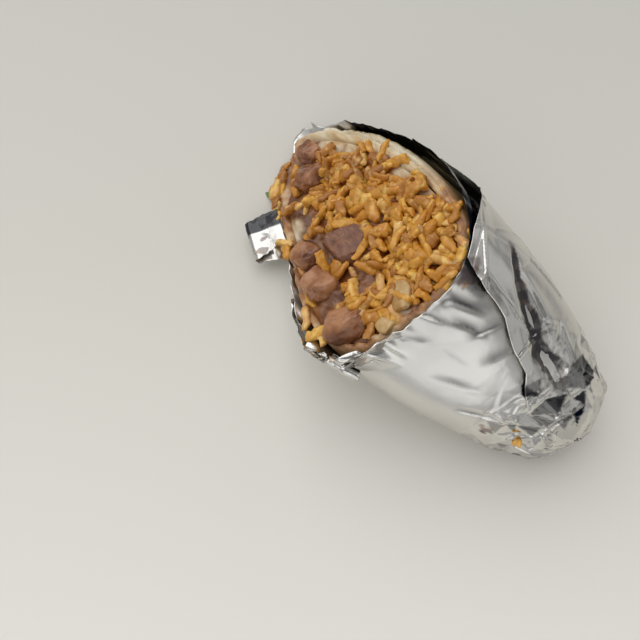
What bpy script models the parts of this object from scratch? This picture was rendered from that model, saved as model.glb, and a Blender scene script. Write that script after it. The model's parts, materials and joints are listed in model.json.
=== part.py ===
"""Half of a rice and bean burrito, cut on the bias and lying on its long side in its foil.

The closed tail points along +X, the cut face looks up towards -X, and the floor is at z = 0.
Sizes below are in millimetres and degrees; meshes are written in metres.
"""

import math

import bmesh
import bpy
import numpy as np
from mathutils import Vector, noise

MM = 0.001

# The rolled body, measured over the foil. Distances run from the closed end towards the cut.
HALF_WIDTH = 31.1
HALF_HEIGHT = 25.9
TAIL_HALF_WIDTH = 13.6
TAIL_HALF_HEIGHT = 10.4
TAPER_LENGTH = 73.0
TAPER_POWER = 1.9
TAIL_SWAY = 3.2
FLAT_SHARE = 0.015
END_ROUNDING = 7.0

# Waves round the section: count, cosine share and sine share of the radius.
SECTION_WAVES = ((2, -0.026, -0.026), (3, -0.080, 0.016), (4, 0.031, 0.0))
WAVE_REACH = 60.0

# The cut: a plane through the body's middle, its normal raised from the floor and turned aside.
CUT_DISTANCE = 91.0
CUT_RAISE = 52.4
CUT_TURN = 30.0

# Layers, from the outside in.
FOIL_WALL = 0.6
LAYER_GAP = 0.5
TORTILLA_WALL = 2.3
TORTILLA_LAP = 2.9
LAP_MIDDLE = 10.0
LAP_HALF_SPREAD = 62.0
FOIL_INSIDE_END = 2.4
TORTILLA_END = 6.5
TORTILLA_INSIDE_END = 12.5
TORTILLA_LIP_ROUNDING = 0.5
FILLING_END = 14.5
FILLING_DROP = 0.8

# The foil's outer flap, its lifted free edge, its crumpled tail and the cut edge.
FLAP_STEP = 0.9
FLAP_LIFT = 0.7
FLAP_SETBACK = 6.8
SEAM_ANGLE = 84.0
SEAM_DRIFT = 32.0
SEAM_DRIFT_START = 44.0
SEAM_DRIFT_LENGTH = 28.0
SEAM_HALF_GAP = 0.6
FLAP_END_ANGLE = -85.0
FLAP_FADE = 14.0
CREASE_DEPTH = 0.8
CREASE_HALF_WIDTH = 7.0
CREASE_ANGLES = (83.0, 53.0)
CREASE_SPAN = (19.0, 51.0)
CRUMPLE_REACH = 31.0
CRUMPLE_DEPTH = 3.4
CRUMPLE_SCALE = 7.5
COLLAR_ANGLE = 38.0
COLLAR_SPREAD = 48.0
COLLAR_STAND_OFF = 2.4
COLLAR_REACH = 14.0
RUFFLE_ANGLE = 166.0
RUFFLE_SPREAD = 42.0
RUFFLE_STAND_OFF = 4.6
RUFFLE_REACH = 10.0
EDGE_REACH = 0.7
EDGE_RAGGEDNESS = 0.6
RUFFLE_REACH_PAST_CUT = 0.8

# Two torn bits of the cut edge: where each leaves it, how wide it starts and ends, and its folds,
# given as ways out from the edge and up.
CURL_ANGLE = 159.0
CURL_SETBACK = 3.0
CURL_SLOPE = 0.32
CURL_WIDTHS = (9.0, 10.5)
CURL_START = 0.9
CURL_RADIUS = 1.9
CURL_TURNS = 0.62
CURL_TIGHTENING = 0.35
CURL_STEPS = 7
TAB_ANGLE = -121.0
TAB_WIDTHS = (19.0, 9.0)
TAB_FOLDS = ((-0.3, 0.0), (1.4, -0.2), (5.0, 0.5), (9.2, 0.1), (12.2, -0.8), (13.2, 0.3),
             (11.8, 1.5), (8.0, 1.9), (4.4, 3.2))

# Mesh divisions: lines round each skin, and its rows. Rows are set back from the cut, then
# evenly spaced in the number given, then set at distances from the closed end.
FOIL_SIDES = 56
FOIL_OUTSIDE_ROWS = ((0.0, 2.6, 6.3, 6.9), 7, (28.0, 24.0, 20.0, 16.5, 13.0, 10.0, 7.0, 4.4, 2.2, 0.8))
FOIL_INSIDE_ROWS = ((0.0, 2.6, 8.0), 5, (24.0, 16.0, 10.0, 6.0, 3.5))
TORTILLA_SIDES = 44
TORTILLA_OUTSIDE_ROWS = ((0.0, 1.2, 8.0), 6, (27.0, 20.0, 15.0, 11.5, 9.0, 7.4))
TORTILLA_INSIDE_ROWS = ((0.0, 8.0), 6, (27.0, 21.0, 17.0, 14.6, 13.4))
FILLING_SIDES = 40
FILLING_ROWS = ((0.0, 6.0), 5, (30.0, 24.0, 19.5, 17.0, 15.4))
FACE_RINGS = 9
LUMP_SIDES = 12
LUMP_RINGS = 8
LUMP_DENT_SCALE = 3.5

# Relief of the rice on the cut face.
RICE_RELIEF = 1.5
RICE_RELIEF_SCALE = 5.5
RICE_DOME = 1.2
POCKET_GAP = 0.35

COLOURS = {
    "foil": ((0.80, 0.80, 0.79, 1.0), 1.0, 0.24),
    "tortilla": ((0.80, 0.70, 0.52, 1.0), 0.0, 0.55),
    "rice": ((0.74, 0.42, 0.10, 1.0), 0.0, 0.45),
    "bean": ((0.30, 0.15, 0.12, 1.0), 0.0, 0.38),
    "meat": ((0.27, 0.15, 0.11, 1.0), 0.0, 0.5),
    "onion": ((0.76, 0.62, 0.38, 1.0), 0.0, 0.3),
}

# Pieces that show in the cut face. Each is placed by its way right and up the face from the
# middle and how far its middle stands proud, with half sizes along, across and through it,
# and the turn of its length on the face.
LUMPS = {
    "bean_1": {"at": (-29.0, -31.0, 0.7), "half": (5.4, 4.0, 3.4), "turn": 35.0,
               "square": 0.85, "bend": 0.6},
    "bean_2": {"at": (-19.0, -26.2, 0.8), "half": (6.8, 4.9, 4.2), "turn": -20.0,
               "square": 0.82, "bend": 0.9},
    "bean_3": {"at": (10.3, -17.2, 0.8), "half": (5.9, 4.2, 3.8), "turn": 10.0,
               "square": 0.85, "bend": 0.7},
    "bean_4": {"at": (20.4, -7.6, 0.5), "half": (6.8, 5.2, 4.6), "turn": 25.0,
               "square": 0.85, "bend": 0.9},
    "bean_5": {"at": (33.4, 7.2, 0.8), "half": (7.8, 5.6, 4.8), "turn": -15.0,
               "square": 0.78, "bend": 1.0},
    "meat_chunk": {"at": (7.0, -1.8, -0.8), "half": (8.6, 7.2, 5.0), "turn": 15.0,
                   "square": 0.58, "rough": 0.06},
    "onion_piece_1": {"at": (23.6, 24.2, 1.0), "half": (4.7, 3.2, 1.2), "turn": 75.0,
                      "square": 0.7, "rough": 0.05},
    "onion_piece_2": {"at": (32.0, 21.4, 0.9), "half": (3.0, 2.5, 1.1), "turn": 40.0,
                      "square": 0.7, "rough": 0.05},
}


def clear_scene():
    for thing in list(bpy.data.objects):
        bpy.data.objects.remove(thing, do_unlink=True)


def make_material(name):
    colour, metallic, roughness = COLOURS[name]
    material = bpy.data.materials.new(name)
    material.use_nodes = True
    shader = material.node_tree.nodes["Principled BSDF"]
    shader.inputs["Base Color"].default_value = colour
    shader.inputs["Metallic"].default_value = metallic
    shader.inputs["Roughness"].default_value = roughness
    material.diffuse_color = colour
    return material


def unit(vector):
    return vector / np.linalg.norm(vector)


def cut_axes():
    """The cut face's right, up and outward directions."""
    raise_angle, turn = math.radians(CUT_RAISE), math.radians(CUT_TURN)
    outward = np.array((
        -math.cos(raise_angle) * math.cos(turn),
        -math.cos(raise_angle) * math.sin(turn),
        math.sin(raise_angle),
    ))
    right = unit(np.cross((0.0, 0.0, 1.0), outward))
    return right, np.cross(outward, right), outward


RIGHT, UP, OUTWARD = cut_axes()
CUT_MIDDLE = np.array((-CUT_DISTANCE, 0.0, HALF_HEIGHT * (1 - FLAT_SHARE)))


def bump(angle, middle, spread):
    """1 at the middle angle, falling smoothly to 0 at the spread on each side; degrees."""
    away = np.abs((angle - middle + 180.0) % 360.0 - 180.0)
    return np.cos(np.clip(away / spread, 0.0, 1.0) * math.pi / 2) ** 2


def ramp(value, start, length):
    """0 up to the start, 1 after the length, and smooth between."""
    share = np.clip((value - start) / length, 0.0, 1.0)
    return share * share * (3 - 2 * share)


def skin(distance, angle, inset, end=0.0):
    """Points at a depth inside the body's outer surface. The surface closes at the end distance."""
    taper = 1 - (1 - np.clip(distance / TAPER_LENGTH, 0, 1)) ** TAPER_POWER
    half_width = TAIL_HALF_WIDTH + (HALF_WIDTH - TAIL_HALF_WIDTH) * taper
    half_height = TAIL_HALF_HEIGHT + (HALF_HEIGHT - TAIL_HALF_HEIGHT) * taper
    rounding = np.sqrt(1 - (1 - np.clip((distance - end) / END_ROUNDING, 0, 1)) ** 2)
    turn = np.radians(angle)
    waves = sum(
        cosine * np.cos(count * turn) + sine * np.sin(count * turn)
        for count, cosine, sine in SECTION_WAVES
    )
    swell = 1 + waves * np.clip(distance / WAVE_REACH, 0, 1)
    y = (half_width * swell - inset) * rounding * np.cos(turn) + TAIL_SWAY * (1 - taper)
    z = half_height * (1 - FLAT_SHARE) + (half_height * swell - inset) * rounding * np.sin(turn)
    return np.stack((-distance + 0 * y, y, np.maximum(z, np.maximum(inset, 0.0))), axis=-1)


def cut_distance(angle, inset, reach):
    """How far from the closed end each line of the skin comes to the cut, plus its reach past it."""
    near, far = np.zeros_like(angle), np.full_like(angle, 2 * CUT_DISTANCE)
    for _ in range(40):
        middle = (near + far) / 2
        height = (skin(middle, angle, inset) - CUT_MIDDLE) @ OUTWARD - reach
        near, far = np.where(height < 0, middle, near), np.where(height < 0, far, middle)
    return (near + far) / 2


def noise_at(points, scale, seed=0.0):
    """Smooth noise from about -1 to 1 at each point; scale is the size of its lumps."""
    flat = points.reshape(-1, 3) / scale + seed
    values = [noise.noise(Vector(point)) for point in flat]
    return np.array(values).reshape(points.shape[:-1]) * 1.6


def pole_at(end):
    """The point where a skin that closes at this distance comes together."""
    return skin(np.array(end), np.array(0.0), 0.0, end)


def loft(name, rings, material, poles):
    """A closed skin over rings of equal count, closed with a fan to a pole at each end."""
    mesh = bmesh.new()
    loops = [[mesh.verts.new(Vector(point) * MM) for point in ring] for ring in rings]
    tips = [mesh.verts.new(Vector(point) * MM) for point in poles]
    sides = len(loops[0])
    for lower, upper in zip(loops, loops[1:]):
        for i in range(sides):
            j = (i + 1) % sides
            mesh.faces.new((lower[i], lower[j], upper[j], upper[i]))
    for tip, loop in zip(tips, (loops[0], loops[-1])):
        for i in range(sides):
            mesh.faces.new((tip, loop[i], loop[(i + 1) % sides]))
    return finish(name, mesh, material)


def finish(name, mesh, material):
    """Turns a bmesh into a smooth-shaded object with sharp creases kept."""
    bmesh.ops.triangulate(mesh, faces=mesh.faces[:])
    bmesh.ops.recalc_face_normals(mesh, faces=mesh.faces[:])
    data = bpy.data.meshes.new(name)
    mesh.to_mesh(data)
    mesh.free()
    data.shade_smooth()
    data.set_sharp_from_angle(angle=math.radians(40))
    data.materials.append(material)
    thing = bpy.data.objects.new(name, data)
    bpy.context.scene.collection.objects.link(thing)
    return thing


def boolean(thing, other, operation):
    modifier = thing.modifiers.new(other.name, "BOOLEAN")
    modifier.operation = operation
    modifier.solver = "EXACT"
    modifier.object = other
    other.hide_render = True
    other.display_type = "WIRE"


def rows_from_cut(cut, rows):
    """Distances of a skin's rows: some set back from the cut, some even, and the tail's own."""
    near_cut, even_rows, tail = rows
    start, end = cut - near_cut[-1], tail[0]
    even = [start + (end - start) * i / even_rows for i in range(1, even_rows)]
    return [cut - back for back in near_cut] + even + [np.full_like(cut, row) for row in tail]


# Foil


def stand_off(angle, back, noise_value):
    """How far the cut edge stands off the roll, at a way back from it."""
    collar = bump(angle, COLLAR_ANGLE, COLLAR_SPREAD) * (1 - ramp(back, 0, COLLAR_REACH))
    ruffle = bump(angle, RUFFLE_ANGLE, RUFFLE_SPREAD) * (1 - ramp(back, 0, RUFFLE_REACH))
    return COLLAR_STAND_OFF * collar + RUFFLE_STAND_OFF * ruffle * (0.8 + 0.6 * noise_value)


def foil_lines():
    """The angles of the foil's lines, with a close pair along the seam."""
    return SEAM_ANGLE + np.linspace(SEAM_HALF_GAP, 360 - SEAM_HALF_GAP, FOIL_SIDES)


def drifted(line, distance):
    """The seam wanders round the roll as it nears the tail, and the lines beside it follow."""
    drift = SEAM_DRIFT * ramp(SEAM_DRIFT_START - distance, 0, SEAM_DRIFT_LENGTH)
    return line + drift * bump(line, SEAM_ANGLE, 110.0)


def flap_height(line, back, distance):
    """The outer flap's height over the layer below: none beyond the seam and near the cut."""
    below_seam = (SEAM_ANGLE - line) % 360.0
    on_flap = 1 - ramp(below_seam, SEAM_ANGLE - FLAP_END_ANGLE, FLAP_FADE)
    lifted = 1 + FLAP_LIFT / FLAP_STEP * np.exp(-below_seam / 9.0)
    edge = 0.5 + (FLAP_SETBACK - 1.0) * ramp(below_seam, 16.0, 34.0)
    set_back = ramp(back, edge, 0.6)
    return FLAP_STEP * on_flap * lifted * set_back * ramp(distance, 4.0, 8.0)


def crease(line, distance):
    """A shallow valley that runs slantwise down the flap."""
    middle = np.interp(distance, CREASE_SPAN, CREASE_ANGLES)
    ends = ramp(distance, CREASE_SPAN[0] - 5, 10) * (1 - ramp(distance, CREASE_SPAN[1], 8))
    return CREASE_DEPTH * ends * np.exp(-((line - 360.0 - middle) / CREASE_HALF_WIDTH) ** 2)


def crumple(points, distance):
    """Sharp-ridged folds in the gathered tail, always outwards."""
    ridges = 1 - np.abs(noise_at(points, CRUMPLE_SCALE, 4.3)) * 1.7
    amount = ramp(CRUMPLE_REACH - distance, 0, CRUMPLE_REACH - 4.0)
    return CRUMPLE_DEPTH * amount * np.clip(ridges, 0.0, 1.0)


def make_foil(material):
    line = foil_lines()
    edge_noise = noise_at(skin(np.full_like(line, 90.0), line, 0.0), 4.0, 9.1)
    ruffle = bump(line, RUFFLE_ANGLE, RUFFLE_SPREAD)
    reach = EDGE_REACH + EDGE_RAGGEDNESS * edge_noise * (1 + ruffle)
    reach = reach + RUFFLE_REACH_PAST_CUT * ruffle
    cut = cut_distance(line, 0.0, reach)

    def outer_ring(distance):
        angle, back = drifted(line, distance), cut - distance
        off = stand_off(line, back, edge_noise) + flap_height(line, back, distance)
        off = off + crumple(skin(distance, angle, 0.0), distance) - crease(line, distance)
        return skin(distance, angle, -off)

    def inner_ring(distance):
        off = stand_off(line, cut - distance, edge_noise)
        return skin(distance, drifted(line, distance), FOIL_WALL - off, FOIL_INSIDE_END)

    rings = [outer_ring(row) for row in rows_from_cut(cut, FOIL_OUTSIDE_ROWS)][::-1]
    rings += [inner_ring(row) for row in rows_from_cut(cut, FOIL_INSIDE_ROWS)]
    return loft("foil_wrap", rings, material, (pole_at(0.0), pole_at(FOIL_INSIDE_END)))


def ribbon(name, path, widths, root, out, side, material):
    """A folded strip of foil: a thickened path, in the out and side directions, and its end widths."""
    path = np.array(path, dtype=float)
    step = np.gradient(path, axis=0)
    normal = np.stack((-step[:, 1], step[:, 0]), axis=1)
    normal /= np.linalg.norm(normal, axis=1)[:, None]
    half = FOIL_WALL / 2
    outline = np.concatenate((path + normal * half, (path - normal * half)[::-1]))
    along = unit(np.cross(out, side))
    share = np.linspace(0, 1, len(path))
    half_widths = (widths[0] + (widths[1] - widths[0]) * np.concatenate((share, share[::-1]))) / 2
    spots = root + outline[:, :1] * out + outline[:, 1:] * side
    mesh = bmesh.new()
    lower, upper = (
        [mesh.verts.new(Vector(spot + along * shift) * MM) for spot, shift in zip(spots, shifts)]
        for shifts in (-half_widths, half_widths)
    )
    count = len(spots)
    for i in range(count):
        j = (i + 1) % count
        mesh.faces.new((lower[i], lower[j], upper[j], upper[i]))
    last = len(path) - 1
    for ends in (lower, upper):
        for i in range(last):
            mesh.faces.new((ends[i], ends[i + 1], ends[count - 2 - i], ends[count - 1 - i]))
    return finish(name, mesh, material)


def curl_folds():
    """The curl's path: straight out at first, then rolling over with a tightening radius."""
    path = [(-CURL_START, 0.0), (0.0, 0.0)]
    for i in range(CURL_STEPS + 1):
        share = i / CURL_STEPS
        turn = 2 * math.pi * CURL_TURNS * share
        tight = CURL_RADIUS * (1 - CURL_TIGHTENING * share)
        path.append((CURL_START + tight * math.sin(turn), CURL_RADIUS - tight * math.cos(turn)))
    return path


def add_foil_tabs(foil, material):
    """One torn bit of the edge is rolled over, and one is folded back beside the floor."""
    edge = np.array((CURL_ANGLE, TAB_ANGLE))
    back = np.array((CURL_SETBACK, 0.0))
    off = stand_off(edge, back, np.zeros(2))
    curl_root, tab_root = skin(cut_distance(edge, FOIL_WALL / 2, 0.0) - back, edge, FOIL_WALL / 2 - off)
    turn = math.radians(CURL_ANGLE)
    radial = np.array((0.0, math.cos(turn), math.sin(turn)))
    curl_side = unit(radial + np.array((CURL_SLOPE, 0.0, 0.0)))
    curl_way = np.array((0.0, -math.sin(turn), math.cos(turn)))
    tab_way = unit(np.array((-0.45, -0.89, 0.0)))
    upwards = np.array((0.0, 0.0, 1.0))
    formers = [
        ribbon("foil_curl_former", curl_folds(), CURL_WIDTHS, curl_root, curl_way, curl_side, material),
        ribbon("foil_tab_former", TAB_FOLDS, TAB_WIDTHS, tab_root, tab_way, upwards, material),
    ]
    for former in formers:
        boolean(foil, former, "UNION")
    return formers


# Tortilla


def tortilla_wall(angle):
    """One layer thick, and two where the rolled edge laps over."""
    lap = bump(angle, LAP_MIDDLE, LAP_HALF_SPREAD) ** 0.5
    return TORTILLA_WALL + TORTILLA_LAP * lap


def make_tortilla(material):
    angle = np.linspace(0, 360, TORTILLA_SIDES, endpoint=False)
    outer_inset = FOIL_WALL + LAYER_GAP
    inner_inset = outer_inset + tortilla_wall(angle)
    outside = rows_from_cut(cut_distance(angle, outer_inset, 0.0), TORTILLA_OUTSIDE_ROWS)
    inside = rows_from_cut(cut_distance(angle, inner_inset, 0.0), TORTILLA_INSIDE_ROWS)
    rings = [skin(row, angle, outer_inset, TORTILLA_END) for row in outside]
    lip = TORTILLA_LIP_ROUNDING
    rings[0] = skin(outside[0] - lip, angle, outer_inset + lip, TORTILLA_END)
    rings = rings[::-1]
    rings += [skin(row, angle, inner_inset, TORTILLA_INSIDE_END) for row in inside]
    return loft("tortilla", rings, material, (pole_at(TORTILLA_END), pole_at(TORTILLA_INSIDE_END)))


# Filling


def make_filling(material):
    angle = np.linspace(0, 360, FILLING_SIDES, endpoint=False)
    inset = FOIL_WALL + 2 * LAYER_GAP + tortilla_wall(angle)
    cut = cut_distance(angle, inset, -FILLING_DROP)
    rings = [skin(row, angle, inset, FILLING_END) for row in rows_from_cut(cut, FILLING_ROWS)][::-1]
    edge = rings[-1]
    middle = edge.mean(axis=0)
    for i in range(1, FACE_RINGS):
        share = 1 - i / FACE_RINGS
        ring = middle + (edge - middle) * share
        rings.append(ring + relief(ring, share)[:, None] * OUTWARD)
    top = middle + relief(middle[None], 0.0)[0] * OUTWARD
    return loft("rice_filling", rings, material, (pole_at(FILLING_END), top))


def relief(points, share):
    """Height of the rice over the flat of the cut, at a share of the way out to its edge."""
    fade = 1 - share ** 6
    return fade * (RICE_DOME + RICE_RELIEF * noise_at(points, RICE_RELIEF_SCALE, 2.7))


def lump_rings(half, grow, square, bend, rough):
    """Rings and poles of a rounded lump about its own middle, its length along x."""
    length, width, depth = (size + grow for size in half)

    def power(value):
        return np.sign(value) * np.abs(value) ** square

    around = np.linspace(0, 2 * math.pi, LUMP_SIDES, endpoint=False)
    rings = []
    for i in range(1, LUMP_RINGS):
        turn = math.pi * i / LUMP_RINGS
        out = power(math.sin(turn))
        ring = np.stack((
            np.full(LUMP_SIDES, length * power(math.cos(turn))),
            width * out * power(np.cos(around)),
            depth * out * power(np.sin(around)),
        ), axis=1)
        ring[:, 1] += bend * (ring[:, 0] / length) ** 2
        rings.append(ring * (1 + rough * noise_at(ring, LUMP_DENT_SCALE, 1.9)[:, None]))
    poles = [np.array((side * length, bend, 0.0)) for side in (1, -1)]
    return rings, poles


def make_lump(name, grow, material, half, at, turn, square=1.0, bend=0.0, rough=0.0):
    """A bean, chunk or slice set into the cut face."""
    rings, poles = lump_rings(half, grow, square, bend, rough)
    turn = math.radians(turn)
    length_way = math.cos(turn) * UP + math.sin(turn) * RIGHT
    axes = np.stack((length_way, np.cross(OUTWARD, length_way), OUTWARD))
    middle = CUT_MIDDLE + at[0] * RIGHT + at[1] * UP + at[2] * OUTWARD
    rings = [middle + ring @ axes for ring in rings]
    return loft(name, rings, material, [middle + pole @ axes for pole in poles])


def add_lumps(hosts, materials):
    """Makes each piece, and a pocket for it in what holds it."""
    made = []
    for name, shape in LUMPS.items():
        material = materials[name.split("_")[0]]
        made.append(make_lump(name, 0.0, material, **shape))
        former = make_lump(name + "_former", POCKET_GAP, material, **shape)
        for host in hosts:
            boolean(host, former, "DIFFERENCE")
        made.append(former)
    return made


def set_on_origin(things):
    """Hangs every object on one empty, placed so that the whole stands centred on the origin."""
    bpy.context.view_layer.update()
    graph = bpy.context.evaluated_depsgraph_get()
    corners = np.concatenate([
        np.array([vertex.co[:] for vertex in thing.evaluated_get(graph).data.vertices])
        for thing in things if not thing.hide_render
    ])
    low, high = corners.min(axis=0), corners.max(axis=0)
    base = bpy.data.objects.new("burrito", None)
    bpy.context.scene.collection.objects.link(base)
    base.location = (-(low[0] + high[0]) / 2, -(low[1] + high[1]) / 2, -low[2])
    for thing in things:
        thing.parent = base


def main():
    clear_scene()
    materials = {name: make_material(name) for name in COLOURS}
    foil = make_foil(materials["foil"])
    things = [foil] + add_foil_tabs(foil, materials["foil"])
    tortilla = make_tortilla(materials["tortilla"])
    filling = make_filling(materials["rice"])
    things += [tortilla, filling] + add_lumps((filling, tortilla), materials)
    set_on_origin(things)


main()
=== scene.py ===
import json
import math
import random
import time

import bmesh
import bpy
import numpy as np
from mathutils import Matrix, Vector, geometry, noise

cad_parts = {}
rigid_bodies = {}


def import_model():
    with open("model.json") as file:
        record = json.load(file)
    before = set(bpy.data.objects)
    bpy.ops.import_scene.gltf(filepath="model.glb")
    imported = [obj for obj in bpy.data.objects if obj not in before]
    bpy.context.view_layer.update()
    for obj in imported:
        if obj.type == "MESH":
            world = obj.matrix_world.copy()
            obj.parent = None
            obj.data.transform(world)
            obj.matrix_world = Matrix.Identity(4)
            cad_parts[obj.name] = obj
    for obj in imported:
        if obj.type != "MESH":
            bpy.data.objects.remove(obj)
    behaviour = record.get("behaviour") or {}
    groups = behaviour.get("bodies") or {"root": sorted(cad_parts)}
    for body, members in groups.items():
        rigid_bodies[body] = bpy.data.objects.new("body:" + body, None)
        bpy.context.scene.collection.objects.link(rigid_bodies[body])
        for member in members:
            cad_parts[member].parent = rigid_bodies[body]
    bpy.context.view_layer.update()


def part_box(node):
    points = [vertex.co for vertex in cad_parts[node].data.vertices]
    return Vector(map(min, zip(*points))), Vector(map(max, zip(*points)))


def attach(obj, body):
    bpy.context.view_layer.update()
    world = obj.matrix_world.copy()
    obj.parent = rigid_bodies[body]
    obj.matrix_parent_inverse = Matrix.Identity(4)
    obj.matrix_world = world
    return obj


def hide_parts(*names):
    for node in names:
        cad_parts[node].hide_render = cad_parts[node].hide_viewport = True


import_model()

mm = 0.001
startTime = time.time()


def stage(text):
    print("%5.1f s  %s" % (time.time() - startTime, text))


# ---------- the roll, in millimetres and degrees, as the solids are built ----------

roll = {
    "halfWidth": 31.1, "halfHeight": 25.9,
    "tailHalfWidth": 13.6, "tailHalfHeight": 10.4,
    "taperLength": 73.0, "taperPower": 1.9,
    "sway": 3.2, "flat": 0.015, "endRounding": 7.0,
    "waves": ((2, -0.026, -0.026), (3, -0.080, 0.016), (4, 0.031, 0.0)),
    "waveReach": 60.0,
    "cutDistance": 91.0, "cutRaise": 52.4, "cutTurn": 30.0,
    "foilGap": 1.1,          # tortilla's outside, in from the foil's outside
    "tortillaEnd": 6.5,
}


def unit(v):
    return v / np.linalg.norm(v, axis=-1, keepdims=True)


def ramp(value, start, length):
    share = np.clip((value - start) / length, 0.0, 1.0)
    return share * share * (3 - 2 * share)


def bump(angle, middle, spread):
    away = np.abs((angle - middle + 180.0) % 360.0 - 180.0)
    return np.cos(np.clip(away / spread, 0.0, 1.0) * math.pi / 2) ** 2


def skin(distance, angle, inset, end=0.0):     # a point on the roll, before it is set on the origin
    taper = 1 - (1 - np.clip(distance / roll["taperLength"], 0, 1)) ** roll["taperPower"]
    halfWidth = roll["tailHalfWidth"] + (roll["halfWidth"] - roll["tailHalfWidth"]) * taper
    halfHeight = roll["tailHalfHeight"] + (roll["halfHeight"] - roll["tailHalfHeight"]) * taper
    rounding = np.sqrt(1 - (1 - np.clip((distance - end) / roll["endRounding"], 0, 1)) ** 2)
    turn = np.radians(angle)
    waves = sum(c * np.cos(n * turn) + s * np.sin(n * turn) for n, c, s in roll["waves"])
    swell = 1 + waves * np.clip(distance / roll["waveReach"], 0, 1)
    y = (halfWidth * swell - inset) * rounding * np.cos(turn) + roll["sway"] * (1 - taper)
    z = halfHeight * (1 - roll["flat"]) + (halfHeight * swell - inset) * rounding * np.sin(turn)
    return np.stack((-distance + 0 * y, y, np.maximum(z, np.maximum(inset, 0.05))), axis=-1)


def cutAxes():
    up, turn = math.radians(roll["cutRaise"]), math.radians(roll["cutTurn"])
    out = np.array((-math.cos(up) * math.cos(turn), -math.cos(up) * math.sin(turn), math.sin(up)))
    right = unit(np.cross((0.0, 0.0, 1.0), out))
    return right, np.cross(out, right), out


faceRight, faceUp, faceOut = cutAxes()
faceMiddle = np.array((-roll["cutDistance"], 0.0, roll["halfHeight"] * (1 - roll["flat"])))


def cutAt(angle, inset, reach):                # where a line of the skin meets the cut
    near, far = np.zeros_like(angle), np.full_like(angle, 2 * roll["cutDistance"])
    for _ in range(36):
        middle = (near + far) / 2
        height = (skin(middle, angle, inset) - faceMiddle) @ faceOut - reach
        near, far = np.where(height < 0, middle, near), np.where(height < 0, far, middle)
    return (near + far) / 2


def findOrigin():                              # how far the solids stand from the roll's own origin
    low, high = (np.array(corner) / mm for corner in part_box("tortilla"))
    angle = np.linspace(0, 360, 44, endpoint=False)
    cut = cutAt(angle, roll["foilGap"], 0.0)
    rows = np.linspace(0.3, 1.0, 60)[:, None] * cut
    points = skin(rows, np.broadcast_to(angle, rows.shape), roll["foilGap"], roll["tortillaEnd"])
    return np.array((high[0] + roll["tortillaEnd"], high[1] - points[..., 1].max(), 0.0))


origin = findOrigin()
stage("the roll's origin is at %s mm" % np.round(origin, 2))


# ---------- mesh helpers ----------

def noiseAt(points, size, seed=0.0):           # smooth noise, about -1 to 1, with lumps of this size
    flat = np.asarray(points, float).reshape(-1, 3) / size + seed
    values = [noise.noise(Vector(point)) for point in flat]
    return np.array(values).reshape(np.shape(points)[:-1]) * 1.6


def addObject(name, mesh, material):
    mesh.materials.append(material)
    mesh.shade_smooth()
    thing = bpy.data.objects.new(name, mesh)
    bpy.context.scene.collection.objects.link(thing)
    return thing


def gridMesh(name, points, closedRound=True, poles=None, flip=False):
    # points: rows x columns x 3, in the roll's frame; poles close the first and last rows
    rows, columns = points.shape[:2]
    vertices = (points.reshape(-1, 3) + origin) * mm
    index = np.arange(rows * columns).reshape(rows, columns)
    across = np.roll(index, -1, axis=1) if closedRound else index[:, 1:]
    here = index if closedRound else index[:, :-1]
    quads = np.stack((here[:-1], across[:-1], across[1:], here[1:]), axis=-1).reshape(-1, 4)
    faces = quads.tolist()
    if poles is not None:
        vertices = np.concatenate((vertices, (np.array(poles) + origin) * mm))
        first, last = rows * columns, rows * columns + 1
        for i in range(columns):
            j = (i + 1) % columns
            faces.append((first, index[0, j], index[0, i]))
            faces.append((last, index[-1, i], index[-1, j]))
    if flip:
        faces = [face[::-1] for face in faces]
    mesh = bpy.data.meshes.new(name)
    mesh.from_pydata(vertices.tolist(), [], [tuple(int(i) for i in face) for face in faces])
    mesh.validate()
    return mesh


def faceOutwards(mesh):
    work = bmesh.new()
    work.from_mesh(mesh)
    bmesh.ops.recalc_face_normals(work, faces=work.faces[:])
    work.to_mesh(mesh)
    work.free()


def paint(mesh, name, values):                 # one number for each vertex, for the materials to read
    layer = mesh.attributes.new(name, "FLOAT", "POINT")
    layer.data.foreach_set("value", np.ascontiguousarray(values, np.float32))


def settle(thing):                             # live modifiers become a plain mesh
    graph = bpy.context.evaluated_depsgraph_get()
    graph.update()
    mesh = bpy.data.meshes.new_from_object(thing.evaluated_get(graph), depsgraph=graph)
    thing.modifiers.clear()
    thing.data = mesh
    return thing


def thicken(thing, thickness):
    wall = thing.modifiers.new("wall", "SOLIDIFY")
    wall.thickness = thickness * mm
    wall.offset = -1.0
    wall.use_even_offset = False
    return settle(thing)


# ---------- material helpers ----------

def linear(hexColour):
    channels = [int(hexColour[i:i + 2], 16) / 255 for i in (1, 3, 5)]
    return tuple(c / 12.92 if c <= 0.04045 else ((c + 0.055) / 1.055) ** 2.4 for c in channels) + (1.0,)


def newMaterial(name):
    material = bpy.data.materials.new(name)
    material.use_nodes = True
    tree = material.node_tree
    return material, tree, tree.nodes["Principled BSDF"]


def addNode(tree, kind, settings=None, inputs=None):
    node = tree.nodes.new(kind)
    for key, value in (settings or {}).items():
        setattr(node, key, value)
    for key, value in (inputs or {}).items():
        socket = node.inputs[key]
        if isinstance(value, bpy.types.NodeSocket):
            tree.links.new(value, socket)
        else:
            socket.default_value = value
    return node


def blendColours(tree, share, first, second, kind="MIX"):
    node = addNode(tree, "ShaderNodeMix", {"data_type": "RGBA", "blend_type": kind})
    for socket, value in ((node.inputs[0], share), (node.inputs[6], first), (node.inputs[7], second)):
        if isinstance(value, bpy.types.NodeSocket):
            tree.links.new(value, socket)
        else:
            socket.default_value = value
    return node.outputs[2]


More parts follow.
